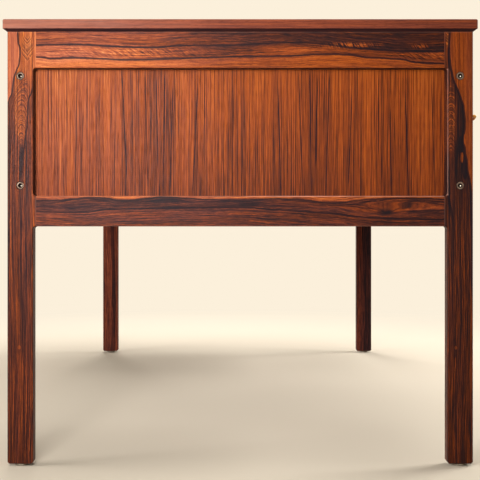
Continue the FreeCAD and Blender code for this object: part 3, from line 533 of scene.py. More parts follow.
def solid_rosewood(name, order, plank, heart, dark_shares, strength=1.0, rose=ROSE_SHARE, painted_sheen=None):
    """A sawn piece: heart is where the tree's middle lies, dark_shares the palest and the darkest band.

    A lipping has a painted sheen, two places between which it turns pale, and painted shade on the bevel
    under its edge.
    """
    low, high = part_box(name)
    material, axes, place = wood(name + "_wood", order, plank)
    along, across, depth = axes
    quick = swing(place, QUICK_PER_M)
    radius = distance(across - heart[0], depth - heart[1])
    rings = radius + swing(place, SLOW_PER_M, detail=1.0) * SLOW_PUSH + quick * QUICK_PUSH + plank
    band = stripes(rings, BANDS_PER_M, detail=1.0)
    zone = fade(band, *BAND_SHARES) * (dark_shares[1] - dark_shares[0]) + dark_shares[0]
    ink = fade(abs(band - MIDDLE_SHARE), *INK_BAND_SHARES) * fade(quick + MIDDLE_SHARE, *INK_BREAK_SHARES)
    grain = together(along + plank * PLANK_STEP, rings, depth)
    wear = edge_wear(axes, order, low, high)
    # On a lipping the bevel is painted dark as shade, and between the two places of its painted sheen it is
    # washed pale as a highlight.
    if painted_sheen:
        bevel = fade(depth - low.z, *LIPPING_BEVEL)
        zone = zone + bevel * BEVEL_SHADE_SHARE
        wear = most(wear, fade(along, *painted_sheen) * PAINTED_SHEEN_SHARE) * (1 - bevel)
    rosewood_surface(grain, zone, ink * (INK_SHARE * strength), wear, strength, rose)
    dress(name, material)


# The two far legs are painted darker than the other solid pieces, and in rose tones only, as painted shade;
# the right front leg is the darkest.
FAR_LEG_SHADE_ROSE_SHARE = 1.0
SOLID_PIECES = (
    ("right_front_leg", "ZYX", 1, (-0.29, 0.80), (0.62, 0.86), 1.0, FAR_LEG_SHADE_ROSE_SHARE),
    ("right_back_leg", "ZYX", 2, (0.44, 0.79), (0.50, 0.76), 1.0, FAR_LEG_SHADE_ROSE_SHARE),
    ("right_upper_rail", "YZX", 3, (0.59, 0.70), (0.34, 0.74)),
    ("right_lower_rail", "YZX", 4, (0.36, 0.77), (0.38, 0.76)),
)
for piece in SOLID_PIECES:
    solid_rosewood(*piece)

LIPPING_STRENGTH_SHARE = 0.45
LIPPING_ROSE_SHARE = 0.90
# The last value of each row gives the two places of the painted sheen along the lipping.
LIPPINGS = (
    ("top_lipping_front", "XYZ", 5, (-0.33, 0.66), (0.44, 0.54), (0.90, 1.60)),
    ("top_lipping_back", "XYZ", 6, (0.32, 0.67), (0.44, 0.54), (0.90, 1.60)),
    ("top_lipping_left", "YXZ", 7, (-0.70, 0.66), (0.46, 0.52), (0.00, 0.40)),
    ("top_lipping_right", "YXZ", 8, (0.70, 0.65), (0.44, 0.54), (0.00, 0.60)),
)
for *piece, painted_sheen in LIPPINGS:
    solid_rosewood(*piece, LIPPING_STRENGTH_SHARE, LIPPING_ROSE_SHARE, painted_sheen)
print("solid pieces:", len(SOLID_PIECES) + len(LIPPINGS))

# %% [markdown]
# ## The near end frame
# The near end frame is what the photograph shows best, and each of its four pieces has a figure of its own.
# A maker chooses such boards by eye, so their ink lines are drawn: a few points of (share along the
# piece, share across it), joined by a smooth curve. The grain bends with the ink beside it. Soft spots push
# it aside into eyes, as a branch does in the tree, and slanting strokes show where the fibres interlock.

# %% Ink and tones of the rails
UPPER_INK_SHARES = (
    (0.0, 0.596), (0.132, 0.651), (0.218, 0.596), (0.316, 0.568), (0.353, 0.609), (0.487, 0.637),
    (0.62, 0.698), (0.683, 0.665), (0.757, 0.554), (0.818, 0.499), (0.874, 0.457), (1.0, 0.485),
)
STRIP_INK_SHARES = (
    (0.0, 0.263), (0.047, 0.296), (0.078, 0.258), (0.12, 0.283), (0.193, 0.249), (0.242, 0.224),
    (0.353, 0.255), (0.5, 0.316), (0.612, 0.335), (0.678, 0.38), (0.751, 0.357), (0.773, 0.307),
    (0.824, 0.263), (0.866, 0.23), (0.895, 0.152), (1.0, 0.102),
)
LIP_INK_SHARES = (
    (0.0, 0.899), (0.062, 0.85), (0.123, 0.899), (0.167, 0.945), (0.201, 0.93), (0.23, 0.859),
    (0.291, 0.925), (0.335, 0.974), (0.387, 0.908), (0.5, 0.873), (0.583, 0.908), (0.642, 0.873),
    (0.71, 0.775), (0.762, 0.85), (0.811, 0.899), (0.867, 0.925), (0.935, 0.899), (1.0, 0.81),
)
LOW_INK_SHARES = (
    (0.0, 0.549), (0.145, 0.458), (0.203, 0.549), (0.379, 0.598), (0.5, 0.624), (0.575, 0.549),
    (0.71, 0.425), (0.784, 0.297), (0.874, 0.248), (1.0, 0.248),
)
UPPER_ZONE_SHARES = (
    ((0.0, 0.42), (0.25, 0.52), (0.5, 0.71), (0.75, 0.78), (1.0, 0.78)),
    (
        (0.0, 0.34), (0.2, 0.38), (0.38, 0.60), (0.5, 0.66),
        (0.6, 0.54), (0.7, 0.57), (0.84, 0.64), (1.0, 0.45),
    ),
    ((0.0, 0.24), (0.3, 0.33), (0.5, 0.50), (0.7, 0.46), (1.0, 0.48)),
)
LOWER_ZONE_SHARES = (
    ((0.0, 0.42), (0.5, 0.36), (1.0, 0.44)),
    ((0.0, 0.65), (0.4, 0.80), (0.75, 0.72), (1.0, 0.72)),
    ((0.0, 0.63), (0.5, 0.71), (1.0, 0.72)),
)
UPPER_ROSE_SHARES = ((0.0, 0.68), (0.25, 0.50), (0.5, 0.14), (1.0, 0.05))
LOWER_ROSE_SHARES = ((0.0, 0.60), (0.4, 0.45), (1.0, 0.30))
UPPER_RAIL = {
    "plank": 9, "strength": 1.0, "plain": 0.25, "run": 2.4,
    "wear": 0.3, "shade": 0.95, "highlight": 0.0, "ink_weight": 1.45,
    "upper": UPPER_INK_SHARES, "lower": STRIP_INK_SHARES,
    "zones": UPPER_ZONE_SHARES, "rose": UPPER_ROSE_SHARES,
}
LOWER_RAIL = {
    "plank": 10, "strength": 1.1, "plain": 0.0, "run": 2.4,
    "wear": 1.0, "shade": 0.0, "highlight": 2.2, "ink_weight": 1.15,
    "upper": LIP_INK_SHARES, "lower": LOW_INK_SHARES,
    "zones": LOWER_ZONE_SHARES, "rose": LOWER_ROSE_SHARES,
}
for rail in (UPPER_RAIL, LOWER_RAIL):
    print("points drawn on a rail:", len(rail["upper"]) + len(rail["lower"]))

# %% [markdown]
# Each rail has a tone above, between and below its two ink lines, and a jagged edge to both lines, as split
# fibres give. The underside of the upper rail is painted dark as shade. The top edge of the lower rail has a
# painted highlight, strongest towards its right end.

# %% How a rail is inked
INK_WIDTH = 0.0005
INK_SWELL = 0.0012
INK_SOFT = 0.0005
INK_SWELLS_PER_M = (22.0, 0.0, 0.0)
JAGS_PER_M = (70.0, 160.0, 160.0)
RAIL_JAG = 0.0022
RAIL_LEAN_SHARE = 0.25
FINE_SHARE = 1.45
SHADE_DEPTHS = (0.0010, 0.0030)
SHADE_REACH = (0.0012, 0.0004)
HIGHLIGHT_START_SHARES = (0.40, 0.60)
HIGHLIGHT_HEIGHT_SHARES = (0.60, 0.90)


def ink_line(gap, width):
    """Black where the gap to a drawn line is small."""
    return fade(abs(gap), width + INK_SOFT, width - INK_SOFT)


def ink_width(place, weight):
    """How far ink spreads from its line, which swells and thins along the grain."""
    return (noise(place, INK_SWELLS_PER_M) * INK_SWELL + INK_WIDTH) * weight


def jagged(place, reach):
    """The jagged edge that split fibres give."""
    return swing(place, JAGS_PER_M, detail=3.0, roughness=BROKEN_SHARE) * reach


def rail_lines(rail, share, height, tall):
    """The gaps to a rail's two ink lines, and its growth lines, which bend with the ink."""
    upper = drawn_line(share, rail["upper"])
    lower = drawn_line(share, rail["lower"])
    middle_up = sum(point[1] for point in rail["upper"]) / len(rail["upper"])
    middle_low = sum(point[1] for point in rail["lower"]) / len(rail["lower"])
    bend = blend(lower - middle_low, upper - middle_up, fade(height, middle_low, middle_up))
    return (height - upper) * tall, (height - lower) * tall, (height - bend) * tall


def rail_zone(rail, share, up_gap, low_gap):
    """How dark a rail is above, between and below its ink lines, and where it lies below them."""
    upper, between, lower = [drawn_line(share, points) for points in rail["zones"]]
    above = fade(up_gap, -INK_SOFT, INK_SOFT)
    below = fade(low_gap, INK_SOFT, -INK_SOFT)
    return blend(blend(between, upper, above), lower, below), below


def two_ink_rail(name, rail, extras):
    """A rail with two drawn ink lines, whose marks are run times shorter than those of a long board."""
    low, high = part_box(name)
    size = high - low
    material, axes, place = wood(name + "_wood", "YZX", rail["plank"])
    along, across, depth = axes
    share = (high.y - along) / size.y
    jags = jagged(place, RAIL_JAG)
    height = (across + jags + (depth - low.x) * RAIL_LEAN_SHARE - low.z) / size.z
    up_gap, low_gap, lines = rail_lines(rail, share, height, size.z)
    zone, below = rail_zone(rail, share, up_gap, low_gap)
    width = ink_width(place, rail["ink_weight"])
    ink = most(ink_line(up_gap, width), ink_line(low_gap, width))
    zone, lines, ink = extras(share, height, place, zone, lines, ink)
    # Painted shade darkens the underside of the upper rail, and a painted highlight is washed onto the top
    # edge of the lower rail towards its right end.
    shade = fade(depth - low.x, *SHADE_DEPTHS) * fade(across - low.z, *SHADE_REACH) * rail["shade"]
    bright = fade(share, *HIGHLIGHT_START_SHARES) * fade(height, *HIGHLIGHT_HEIGHT_SHARES) * rail["highlight"]
    wear = edge_wear(axes, "YZX", low, high) * (bright + 1) * rail["wear"]
    strength = rail["strength"] - below * rail["plain"]
    grain = together((along + rail["plank"] * PLANK_STEP) * rail["run"], lines * FINE_SHARE, depth)
    rose = drawn_line(share, rail["rose"])
    rosewood_surface(grain, zone, most(ink * INK_SHARE, shade), wear, strength, rose)
    dress(name, material)


print("ink spreads from its line by", INK_WIDTH, "to", INK_WIDTH + INK_SWELL, "m")

# %% [markdown]
# In the upper rail the fibres lock into each other, so strokes cross its grain at a slant: flames between the
# ink lines and pale feathers above them. Noise whose place is turned a little gives such strokes, and soft
# spots say where they show. Fine black lines fill the right half, with a dark cloud near its end.

# %% Marks of the upper rail
FLAME_SLOPE = 0.62
FEATHER_SLOPE = 1.05
STROKES_PER_M = (80.0, 620.0, 60.0)
BLACK_LINES_PER_M = 150.0
FLAME_SHARES = (((0.26, 0.44), (0.16, 0.13)), ((0.93, 0.34), (0.08, 0.12)))
FLAME_STRENGTH_SHARE = 1.15
FEATHER_SHARES = (((0.745, 0.63), (0.055, 0.075)), ((0.905, 0.60), (0.018, 0.060)))
FEATHER_STROKE_SHARES = (0.44, 0.56)
FEATHER_PALE_SHARE = 0.55
BLACK_STROKE_SHARES = (0.48, 0.58)
BLACK_START_SHARES = (0.30, 0.62)
BLACK_HEIGHT_SHARES = (0.52, 0.66)
BLACK_INK_SHARE = 0.55
CLOUD_SHARES = (((0.86, 0.58), (0.07, 0.07)),)
CLOUD_INK_SHARE = 0.5


def slanting_strokes(place, slope, counts):
    """Fine strokes that cross the grain at a slant."""
    about = {"rotation_type": "Z_AXIS"}
    turned = add_node(place.tree, "ShaderNodeVectorRotate", about, Vector=place, Angle=-slope)
    return noise(turned, counts, detail=1.0)


def upper_rail_extras(share, height, place, zone, lines, ink):
    """Slanting flames between the ink lines, pale feathers above them and black lines at the right."""
    flames = slanting_strokes(place, FLAME_SLOPE, STROKES_PER_M) - MIDDLE_SHARE
    flames = flames * spots(share, height, FLAME_SHARES)
    feathers = fade(slanting_strokes(place, FEATHER_SLOPE, STROKES_PER_M), *FEATHER_STROKE_SHARES)
    feathers = feathers * spots(share, height, FEATHER_SHARES)
    black = fade(stripes(lines, BLACK_LINES_PER_M), *BLACK_STROKE_SHARES) * BLACK_INK_SHARE
    black = black * fade(share, *BLACK_START_SHARES) * fade(height, *BLACK_HEIGHT_SHARES)
    cloud = spots(share, height, CLOUD_SHARES) * (1 - feathers) * CLOUD_INK_SHARE
    zone = zone + flames * FLAME_STRENGTH_SHARE - feathers * FEATHER_PALE_SHARE
    return zone, lines, most(ink, black, cloud)


two_ink_rail("left_upper_rail", UPPER_RAIL, upper_rail_extras)
print("flames:", len(FLAME_SHARES), "feathers:", len(FEATHER_SHARES))

# %% [markdown]
# A branch has left an eye in the lower rail. The growth lines are pushed aside round it, so the grain swirls
# there as water does round a stone. Black patches hang from the upper ink line.

# %% Marks of the lower rail
EYE_SHARES = (((0.828, 0.45), (0.020, 0.08)),)
SWIRL_SHARES = (((0.812, 0.53), (0.080, 0.26)),)
EYE_PUSH = 0.004
SWIRL_PUSH = 0.005
EYE_DARK_SHARE = 0.42
SWIRL_PALE_SHARE = 0.08
BLACK_PATCH_SHARES = (
    ((0.185, 0.86), (0.032, 0.09)), ((0.345, 0.86), (0.050, 0.12)), ((0.52, 0.72), (0.035, 0.12)),
)
PATCH_EDGE_SHARES = (0.40, 0.85)
PATCH_INSIDE_SHARES = (-0.02, 0.02)
PATCH_INK_SHARE = 0.75
RAIL_STRAND_COUNTS = (9.0, 300.0, 0.0)
RAIL_STRAND_THIN_SHARE = 0.10
RAIL_STRAND_INK_SHARE = 0.15


def lower_rail_extras(share, height, place, zone, lines, ink):
    """An eye with the grain bent round it, black patches under the upper ink line and fine dark strands.

    It is handed the same values as the upper rail's marks, and has no use for place.
    """
    eye = spots(share, height, EYE_SHARES)
    swirl = spots(share, height, SWIRL_SHARES)
    patches = fade(spots(share, height, BLACK_PATCH_SHARES), *PATCH_EDGE_SHARES) * PATCH_INK_SHARE
    patches = patches * fade(drawn_line(share, LIP_INK_SHARES) - height, *PATCH_INSIDE_SHARES)
    strands = ridges(together(share, lines, height), RAIL_STRAND_COUNTS, RAIL_STRAND_THIN_SHARE)
    lines = lines + swirl * SWIRL_PUSH + eye * EYE_PUSH
    zone = zone + eye * EYE_DARK_SHARE - swirl * SWIRL_PALE_SHARE
    return zone, lines, most(ink, patches, strands * RAIL_STRAND_INK_SHARE)


two_ink_rail("left_lower_rail", LOWER_RAIL, lower_rail_extras)
print("black patches:", len(BLACK_PATCH_SHARES))

# %% [markdown]
# The two near legs were sawn beside the heart, where pale and dark wood meet. One ink line wanders down each
# leg from the top, with plain orange wood on its outer side, and a shorter one runs inside it. Lower down the
# legs are dark and straight, with a knot in each. The places are shares of the leg's height and of its width,
# counted from the inner edge outwards.

# %% Ink and tones of the legs
LEG_WIDTH = 0.042
LEG_INNER_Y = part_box("left_back_leg")[1].y - LEG_WIDTH
OPENING = (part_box("left_lower_rail")[1].z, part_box("left_upper_rail")[0].z)
BACK_LEG_INK_SHARES = (
    (0.0, 1.0), (0.78, 1.0), (0.82, 1.0), (0.839, 0.957), (0.862, 0.81), (0.89, 0.75), (0.912, 0.64),
    (0.932, 0.53), (0.955, 0.505), (0.978, 0.575), (1.0, 0.59),
)
BACK_LEG_SECOND_SHARES = (
    (0.0, 0.40), (0.66, 0.40), (0.72, 0.36), (0.751, 0.315), (0.783, 0.233), (0.818, 0.202), (0.844, 0.171),
    (0.870, 0.027), (1.0, 0.0),
)
FRONT_LEG_INK_SHARES = (
    (0.0, 1.0), (0.50, 1.0), (0.578, 0.965), (0.637, 0.91), (0.660, 0.85), (0.684, 0.77), (0.705, 0.735),
    (0.720, 0.69), (0.735, 0.665), (0.748, 0.60), (0.757, 0.60), (0.766, 0.645), (0.79, 0.665), (0.82, 0.63),
    (0.842, 0.54), (0.866, 0.40), (0.904, 0.179), (0.957, 0.06), (1.0, 0.09),
)
FRONT_LEG_SECOND_SHARES = ((0.0, 0.25), (0.55, 0.22), (0.62, 0.06), (0.68, 0.02), (0.72, 0.0), (1.0, 0.0))
BACK_LEG_ZONE_SHARES = (
    (0.0, 0.74), (0.6, 0.70), (0.70, 0.72), (0.76, 0.72), (0.84, 0.66), (0.90, 0.47), (1.0, 0.40),
)
FRONT_LEG_ZONE_SHARES = ((0.0, 0.77), (0.5, 0.79), (0.68, 0.85), (0.80, 0.85), (0.90, 0.78), (1.0, 0.55))
BACK_LEG = {
    "plank": 11, "outward": 1, "rose": 0.30, "pale_rose": 1.0, "pale": 0.33,
    "ink_weight": 1.3, "worn_arris": 0.3, "shade": 0.95,
    "ink": BACK_LEG_INK_SHARES, "second": BACK_LEG_SECOND_SHARES, "zone": BACK_LEG_ZONE_SHARES,
    "second_reach": ((0.69, 0.73), (0.885, 0.865)),
    "arch": ((0.825, 0.45), (0.085, 0.32)), "arch_lean": -0.30, "arch_pale": 0.41,
    "arches_per_m": 370.0, "arch_strokes": (0.43, 0.57), "vee": ((0.962, 0.22), (0.030, 0.24)),
    "islands": (((0.274, 0.54), (0.0050, 0.075), 0.40),),
    "stains": (
        ((0.72, 0.97), (0.070, 0.13), 0.60), ((0.705, 0.46), (0.045, 0.09), 0.80),
        ((0.80, 0.86), (0.05, 0.10), 0.25), ((0.280, 0.55), (0.026, 0.11), 0.45),
    ),
}
FRONT_LEG = {
    "plank": 12, "outward": -1, "rose": 0.10, "pale_rose": 0.05, "pale": 0.51,
    "ink_weight": 2.0, "worn_arris": 1.7, "shade": 0.5,
    "ink": FRONT_LEG_INK_SHARES, "second": FRONT_LEG_SECOND_SHARES, "zone": FRONT_LEG_ZONE_SHARES,
    "second_reach": ((0.50, 0.60), (0.74, 0.70)),
    "arch": ((0.80, 0.14), (0.085, 0.18)), "arch_lean": 0.0, "arch_pale": 0.44,
    "arches_per_m": 320.0, "arch_strokes": (0.38, 0.46), "vee": ((0.985, 0.02), (0.020, 0.10)),
    "islands": (((0.711, 0.565), (0.0135, 0.062), 1.0), ((0.273, 0.33), (0.0045, 0.06), 0.8)),
    "stains": (
        ((0.735, 0.52), (0.030, 0.12), 1.0), ((0.690, 0.68), (0.034, 0.14), 1.0),
        ((0.86, 0.28), (0.04, 0.12), 0.5), ((0.80, 0.50), (0.055, 0.14), 0.6),
        ((0.272, 0.27), (0.026, 0.13), 0.6),
    ),
}
for leg in (BACK_LEG, FRONT_LEG):
    print("points drawn on a leg:", len(leg["ink"]) + len(leg["second"]))

# %% [markdown]
# Inside the ink line the growth lines close into arches, one inside the other like a fingerprint. An arch is
# a stripe along a sum: the height plus a share of the squared distance from the arches' middle. With the
# plain distance taken away instead, the stripes make the small fork under the top end.

# %% Arches and ink of a leg
ARCH_STEEPNESS = (230.0, 110.0)
ARCH_TURN_SHARES = (0.74, 0.87)
ARCH_LEAN_SHARES = (0.84, 0.91)
ARCH_JAG_SHARE = 1.4
ARCH_EDGE_SHARES = (0.22, 0.55)
ARCH_INK_SHARE = 0.85
VEE_SLOPE_SHARE = 1.3
VEE_PALE_SHARE = 0.32


def leg_strokes(leg, where, share, out, height):
    """Where a pattern shows on a leg, and its dark strokes at even steps of height."""
    shown = fade(spot(share, out, *where), *ARCH_EDGE_SHARES)
    return shown, fade(stripes(height, leg["arches_per_m"]), *leg["arch_strokes"])


def leg_arches(leg, along, share, out, jags):
    """Nested arches on the inner side of a leg."""
    centre_out = leg["arch"][0][1]
    off = (out - centre_out - fade(share, *ARCH_LEAN_SHARES) * leg["arch_lean"]) * LEG_WIDTH
    steepness = blend(*ARCH_STEEPNESS, fade(share, *ARCH_TURN_SHARES))
    height = along + off * off * steepness + jags * ARCH_JAG_SHARE
    return leg_strokes(leg, leg["arch"], share, out, height)


def leg_vees(leg, along, share, out, jags):
    """The small fork under the top end."""
    centre_out = leg["vee"][0][1]
    height = along - abs(out - centre_out) * (LEG_WIDTH * VEE_SLOPE_SHARE) + jags * ARCH_JAG_SHARE
    return leg_strokes(leg, leg["vee"], share, out, height)


def leg_ink(leg, share, out, place):
    """The ink lines of a leg, and where the pale wood outside the first of them lies."""
    first = (out - drawn_line(share, leg["ink"])) * LEG_WIDTH
    second = (out - drawn_line(share, leg["second"])) * LEG_WIDTH
    starts, stops = leg["second_reach"]
    width = ink_width(place, leg["ink_weight"])
    shown = fade(share, *starts) * fade(share, *stops)
    ink = most(ink_line(first, width), ink_line(second, width) * shown)
    return ink, fade(first, -INK_SOFT, INK_SOFT)


print("arches per metre:", BACK_LEG["arches_per_m"], FRONT_LEG["arches_per_m"])

# %% [markdown]
# A leg is put together in layers. Strands, stains and arches mark the dark wood, the pale wood covers them
# outside the ink line, and pale islands come last. The arris beside the opening has a painted highlight, and
# the leg's inner side and its outer edge are painted dark as shade.

# %% Legs of the near end frame
STAIN_SHARES = (0.30, 0.55)
LEG_JAG = 0.0020
LEG_LEAN_SHARE = 0.30
STRANDS_PER_M = (6.0, 250.0, 250.0)
STRAND_THIN_SHARE = 0.10
STRAND_INK_SHARE = 0.45
PALE_STRAND_SHARE = 0.15
PALE_STRENGTH_SHARE = 0.35
ARRIS_REACH = (0.0018, 0.0008)
BREAKS_PER_M = (150.0, 420.0, 420.0)
BREAK_SHARES = (0.28, 0.46)
OUTER_EDGE_SHARES = (0.960, 1.0)
OUTER_EDGE_DEPTHS = (0.0030, 0.0010)
OUTER_EDGE_SHADE_SHARE = 0.5
LEG_WEAR_SHARE = 0.4


def leg_marks(leg, along, share, out, jags, place, grain, other_grain):
    """How dark a leg is inside its ink line, and how black its strands, stains, arches and fork are there."""
    pale = ridges(other_grain, STRANDS_PER_M, STRAND_THIN_SHARE) * PALE_STRAND_SHARE
    zone = drawn_line(share, leg["zone"]) - pale
    marks = ridges(grain, STRANDS_PER_M, STRAND_THIN_SHARE) * STRAND_INK_SHARE
    for centre, spread, amount in leg["stains"]:
        marks = most(marks, fade(spot(share, out, centre, spread), *STAIN_SHARES) * amount)
    breaks = fade(noise(place, BREAKS_PER_M), *BREAK_SHARES) * ARCH_INK_SHARE
    for pattern, tone in ((leg_arches, leg["arch_pale"]), (leg_vees, VEE_PALE_SHARE)):
        shown, strokes = pattern(leg, along, share, out, jags)
        zone = blend(zone, tone, shown)
        marks = blend(marks, strokes * breaks, shown)
    return zone, marks


def leg_edges(leg, axes, from_inner, low, high):
    """The worn edges of a leg, a painted highlight on the arris beside the opening, and painted shade on its
    inner side and along its outer edge.
    """
    along = axes[0]
    inward = axes[2] - low.x
    above = fade(along, OPENING[0], OPENING[0] + WEAR_REACH)
    below = fade(along, OPENING[1], OPENING[1] - WEAR_REACH)
    # Painted highlight on the arris beside the opening.
    arris = fade(from_inner + inward, *ARRIS_REACH) * below * above * leg["worn_arris"]
    # Painted shade on the inner side of the leg.
    shade = fade(inward, *SHADE_DEPTHS) * fade(from_inner, *SHADE_REACH) * above * leg["shade"]
    # Painted shade along the outer edge of the leg's front face.
    outer_edge = fade(from_inner / LEG_WIDTH, *OUTER_EDGE_SHARES) * fade(inward, *OUTER_EDGE_DEPTHS)
    wear = most(edge_wear(axes, "ZYX", low, high) * LEG_WEAR_SHARE, arris)
    return wear, most(shade, outer_edge * OUTER_EDGE_SHADE_SHARE)


def inked_leg(name, leg):
    """A leg with pale wood outside its ink line and dark figured wood inside it."""
    low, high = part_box(name)
    material, axes, place = wood(name + "_wood", "ZYX", leg["plank"])
    along, across, depth = axes
    share = along / high.z
    jags = jagged(place, LEG_JAG)
    from_inner = across * leg["outward"] - LEG_INNER_Y
    offset = from_inner + jags + (depth - low.x) * LEG_LEAN_SHARE
    out = offset / LEG_WIDTH
    ink, outside = leg_ink(leg, share, out, place)
    lines = (offset + swing(place, SLOW_PER_M, detail=1.0) * SLOW_PUSH) * FINE_SHARE
    grain = together(along + leg["plank"] * PLANK_STEP, lines, depth)
    other_grain = together(along + (leg["plank"] + 1) * PLANK_STEP, lines, depth)
    zone, marks = leg_marks(leg, along, share, out, jags, place, grain, other_grain)
    zone = blend(zone, leg["pale"], outside)
    ink = most(ink, marks * (1 - outside))
    for centre, spread, amount in leg["islands"]:
        island = fade(spot(share, out, centre, spread), *STAIN_SHARES) * amount
        zone = blend(zone, leg["pale"], island)
        ink = ink * (1 - island)
    wear, shade = leg_edges(leg, axes, from_inner, low, high)
    strength = 1 - outside * PALE_STRENGTH_SHARE
    rose = blend(leg["rose"], leg["pale_rose"], outside)
    # The ink passed on also carries the painted shade, and the wear the painted highlight.
    rosewood_surface(grain, zone, most(ink * INK_SHARE, shade), wear, strength, rose)
    dress(name, material)


inked_leg("left_back_leg", BACK_LEG)
inked_leg("left_front_leg", FRONT_LEG)
print("opening between the rails, in metres:", [round(level, 4) for level in OPENING])

# %% [markdown]
# ## Rosewood veneer
# The boards between the frames are veneered: thin leaves of rosewood, sliced from one log and laid side by
# side. A leaf cut through the log shows straight stripes. One cut across the crown of the log shows nested
# arches instead, and two neighbouring leaves are opened like a book, so that each is the mirror image of the
# other. A ping-pong sum across the board does that.

# %% How a board is veneered
TONES_PER_M = 24.0
VENEER_SLOW_PER_M = (1.6, 7.0, 7.0)
VENEER_QUICK_PER_M = (10.0, 90.0, 90.0)
VENEER_SLOW_PUSH = 0.006
VENEER_QUICK_PUSH = 0.0013
CROWN_PER_M = (1.1, 1.4, 0.0)
VENEER_DARK_SHARE = 0.44
VENEER_TONE_SHARE = 0.34
PLAIN_RUN_SHARES = (1.0, 1.0)


def veneer(name, order, plank, leaf=0.0, crown=0.0, extras=None, shares=FIGURE_SHARES, runs=PLAIN_RUN_SHARES):
    """A veneered board; leaf is the width of its leaves, crown how far their arches reach.

    Extras draws tones and ink, shares is the strength of each kind of mark, and runs says how much
    denser than usual the marks lie along the grain and across it.
    """
    material, axes, place = wood(name + "_veneer", order, plank)
    along, across, depth = axes
    push = swing(place, VENEER_SLOW_PER_M, detail=1.0) * VENEER_SLOW_PUSH
    push = push + swing(place, VENEER_QUICK_PER_M) * VENEER_QUICK_PUSH
    lines = (across.math("PINGPONG", leaf) if leaf else across) + push
    if crown:
        lines = distance(lines - leaf / 2, noise(place, CROWN_PER_M) * crown)
    zone = (stripes(lines + plank, TONES_PER_M) - MIDDLE_SHARE) * VENEER_TONE_SHARE + VENEER_DARK_SHARE
    ink = 0.0
    rose = ROSE_SHARE
    if extras:
        zone, ink, rose = extras(along, across + push, zone)
    grain = together((along + plank * PLANK_STEP) * runs[0], (lines + plank) * runs[1], depth)
    wear = edge_wear(axes, order, *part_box(name))
    rosewood_surface(grain, zone, ink, wear, rose=rose, shares=shares)
    dress(name, material)


print("tones per metre of veneer:", TONES_PER_M)

# %% [markdown]
# Straight stripes run up the panel in the near end, which is the side that shows. A maker picks the leaves
# for such a side, so its tones and its darkest needles are drawn, and the finer marks are left to the
# recipe. A needle is a row of five: its place at the top of the opening and at the bottom, where it starts
# and ends on the way up, and how black it is.

# %% The panel in the near end
PANEL_TONE_SHARES = (
    (0.0, 0.45), (0.08, 0.44), (0.10, 0.38), (0.125, 0.42), (0.15, 0.50), (0.185, 0.48), (0.21, 0.40),
    (0.235, 0.47), (0.25, 0.60), (0.285, 0.56), (0.32, 0.63), (0.345, 0.59), (0.365, 0.48), (0.385, 0.46),
    (0.40, 0.56), (0.44, 0.43), (0.48, 0.53), (0.535, 0.43), (0.57, 0.49), (0.588, 0.57), (0.61, 0.47),
    (0.635, 0.55), (0.66, 0.63), (0.685, 0.60), (0.715, 0.45), (0.748, 0.56), (0.775, 0.42), (0.81, 0.52),
    (0.832, 0.60), (0.868, 0.58), (0.90, 0.43), (0.93, 0.53), (1.0, 0.50),
)
PANEL_NEEDLE_SHARES = (
    (0.064, 0.060, 0.05, 0.88, 0.45), (0.139, 0.134, 0.0, 0.98, 0.55), (0.155, 0.147, 0.1, 0.7, 0.5),
    (0.185, 0.191, 0.25, 0.85, 0.45), (0.239, 0.252, 0.1, 1.0, 0.75), (0.290, 0.297, 0.05, 1.0, 0.6),
    (0.301, 0.302, 0.3, 1.0, 0.5), (0.314, 0.319, 0.2, 0.95, 0.7), (0.333, 0.329, 0.0, 1.0, 0.75),
    (0.350, 0.344, 0.0, 0.85, 0.7), (0.406, 0.393, 0.0, 0.87, 0.8), (0.421, 0.417, 0.3, 0.95, 0.45),
    (0.477, 0.473, 0.05, 0.87, 0.5), (0.583, 0.591, 0.0, 0.90, 0.85), (0.630, 0.640, 0.05, 1.0, 0.7),
    (0.655, 0.658, 0.0, 1.0, 0.85), (0.673, 0.667, 0.2, 0.95, 0.75), (0.698, 0.690, 0.0, 1.0, 0.8),
    (0.749, 0.740, 0.05, 0.85, 0.75), (0.759, 0.757, 0.55, 1.0, 0.5), (0.808, 0.806, 0.3, 1.0, 0.65),
    (0.820, 0.816, 0.35, 0.9, 0.5), (0.833, 0.835, 0.0, 0.70, 0.95), (0.864, 0.873, 0.0, 0.85, 0.85),
    (0.922, 0.930, 0.15, 0.9, 0.6),
)
# Painted light: the panel is lighter towards the top of the opening and towards the left of the end view, as
# the light falls.
PANEL_TOP_LIGHT_SHARES = (0.09, -0.05)
PANEL_SIDE_LIGHT_SHARES = (
    (0.0, 0.47), (0.15, 0.50), (0.28, 0.53), (0.60, 0.57), (0.75, 0.55), (0.88, 0.51), (1.0, 0.50),
)
PANEL_RUN_SHARES = (0.45, 1.40)
PANEL_FIGURE_SHARES = {"needles": 0.06, "threads": 0.28, "fibres": 0.40, "dashes": 0.70, "hues": 0.5}
PANEL_ROSE_SHARE = 0.45
PANEL_ROSE_REACH_SHARES = (0.48, 0.0)
PANEL_RANDOM_SHARE = 0.20
PANEL_TONE_SHARE = 0.42
NEEDLE_WIDTH = 0.0009
NEEDLE_CORE_SHARE = 0.65
NEEDLE_TAPER_SHARE = 0.12
NEEDLE_INK_SHARE = 1.35


def panel_needles(share, up, width):
    """The black needles of the panel, thin at both ends."""
    needles = []
    for top, bottom, start, end, strength in PANEL_NEEDLE_SHARES:
        gap = abs(up * (top - bottom) + bottom - share) * width
        taper = fade(up, start - NEEDLE_TAPER_SHARE, start + NEEDLE_TAPER_SHARE)
        taper = taper * fade(up, end + NEEDLE_TAPER_SHARE, end - NEEDLE_TAPER_SHARE)
        thick = taper * NEEDLE_WIDTH
        needles.append(fade(gap, thick, thick * NEEDLE_CORE_SHARE) * (taper * strength))
    return most(*needles) * NEEDLE_INK_SHARE


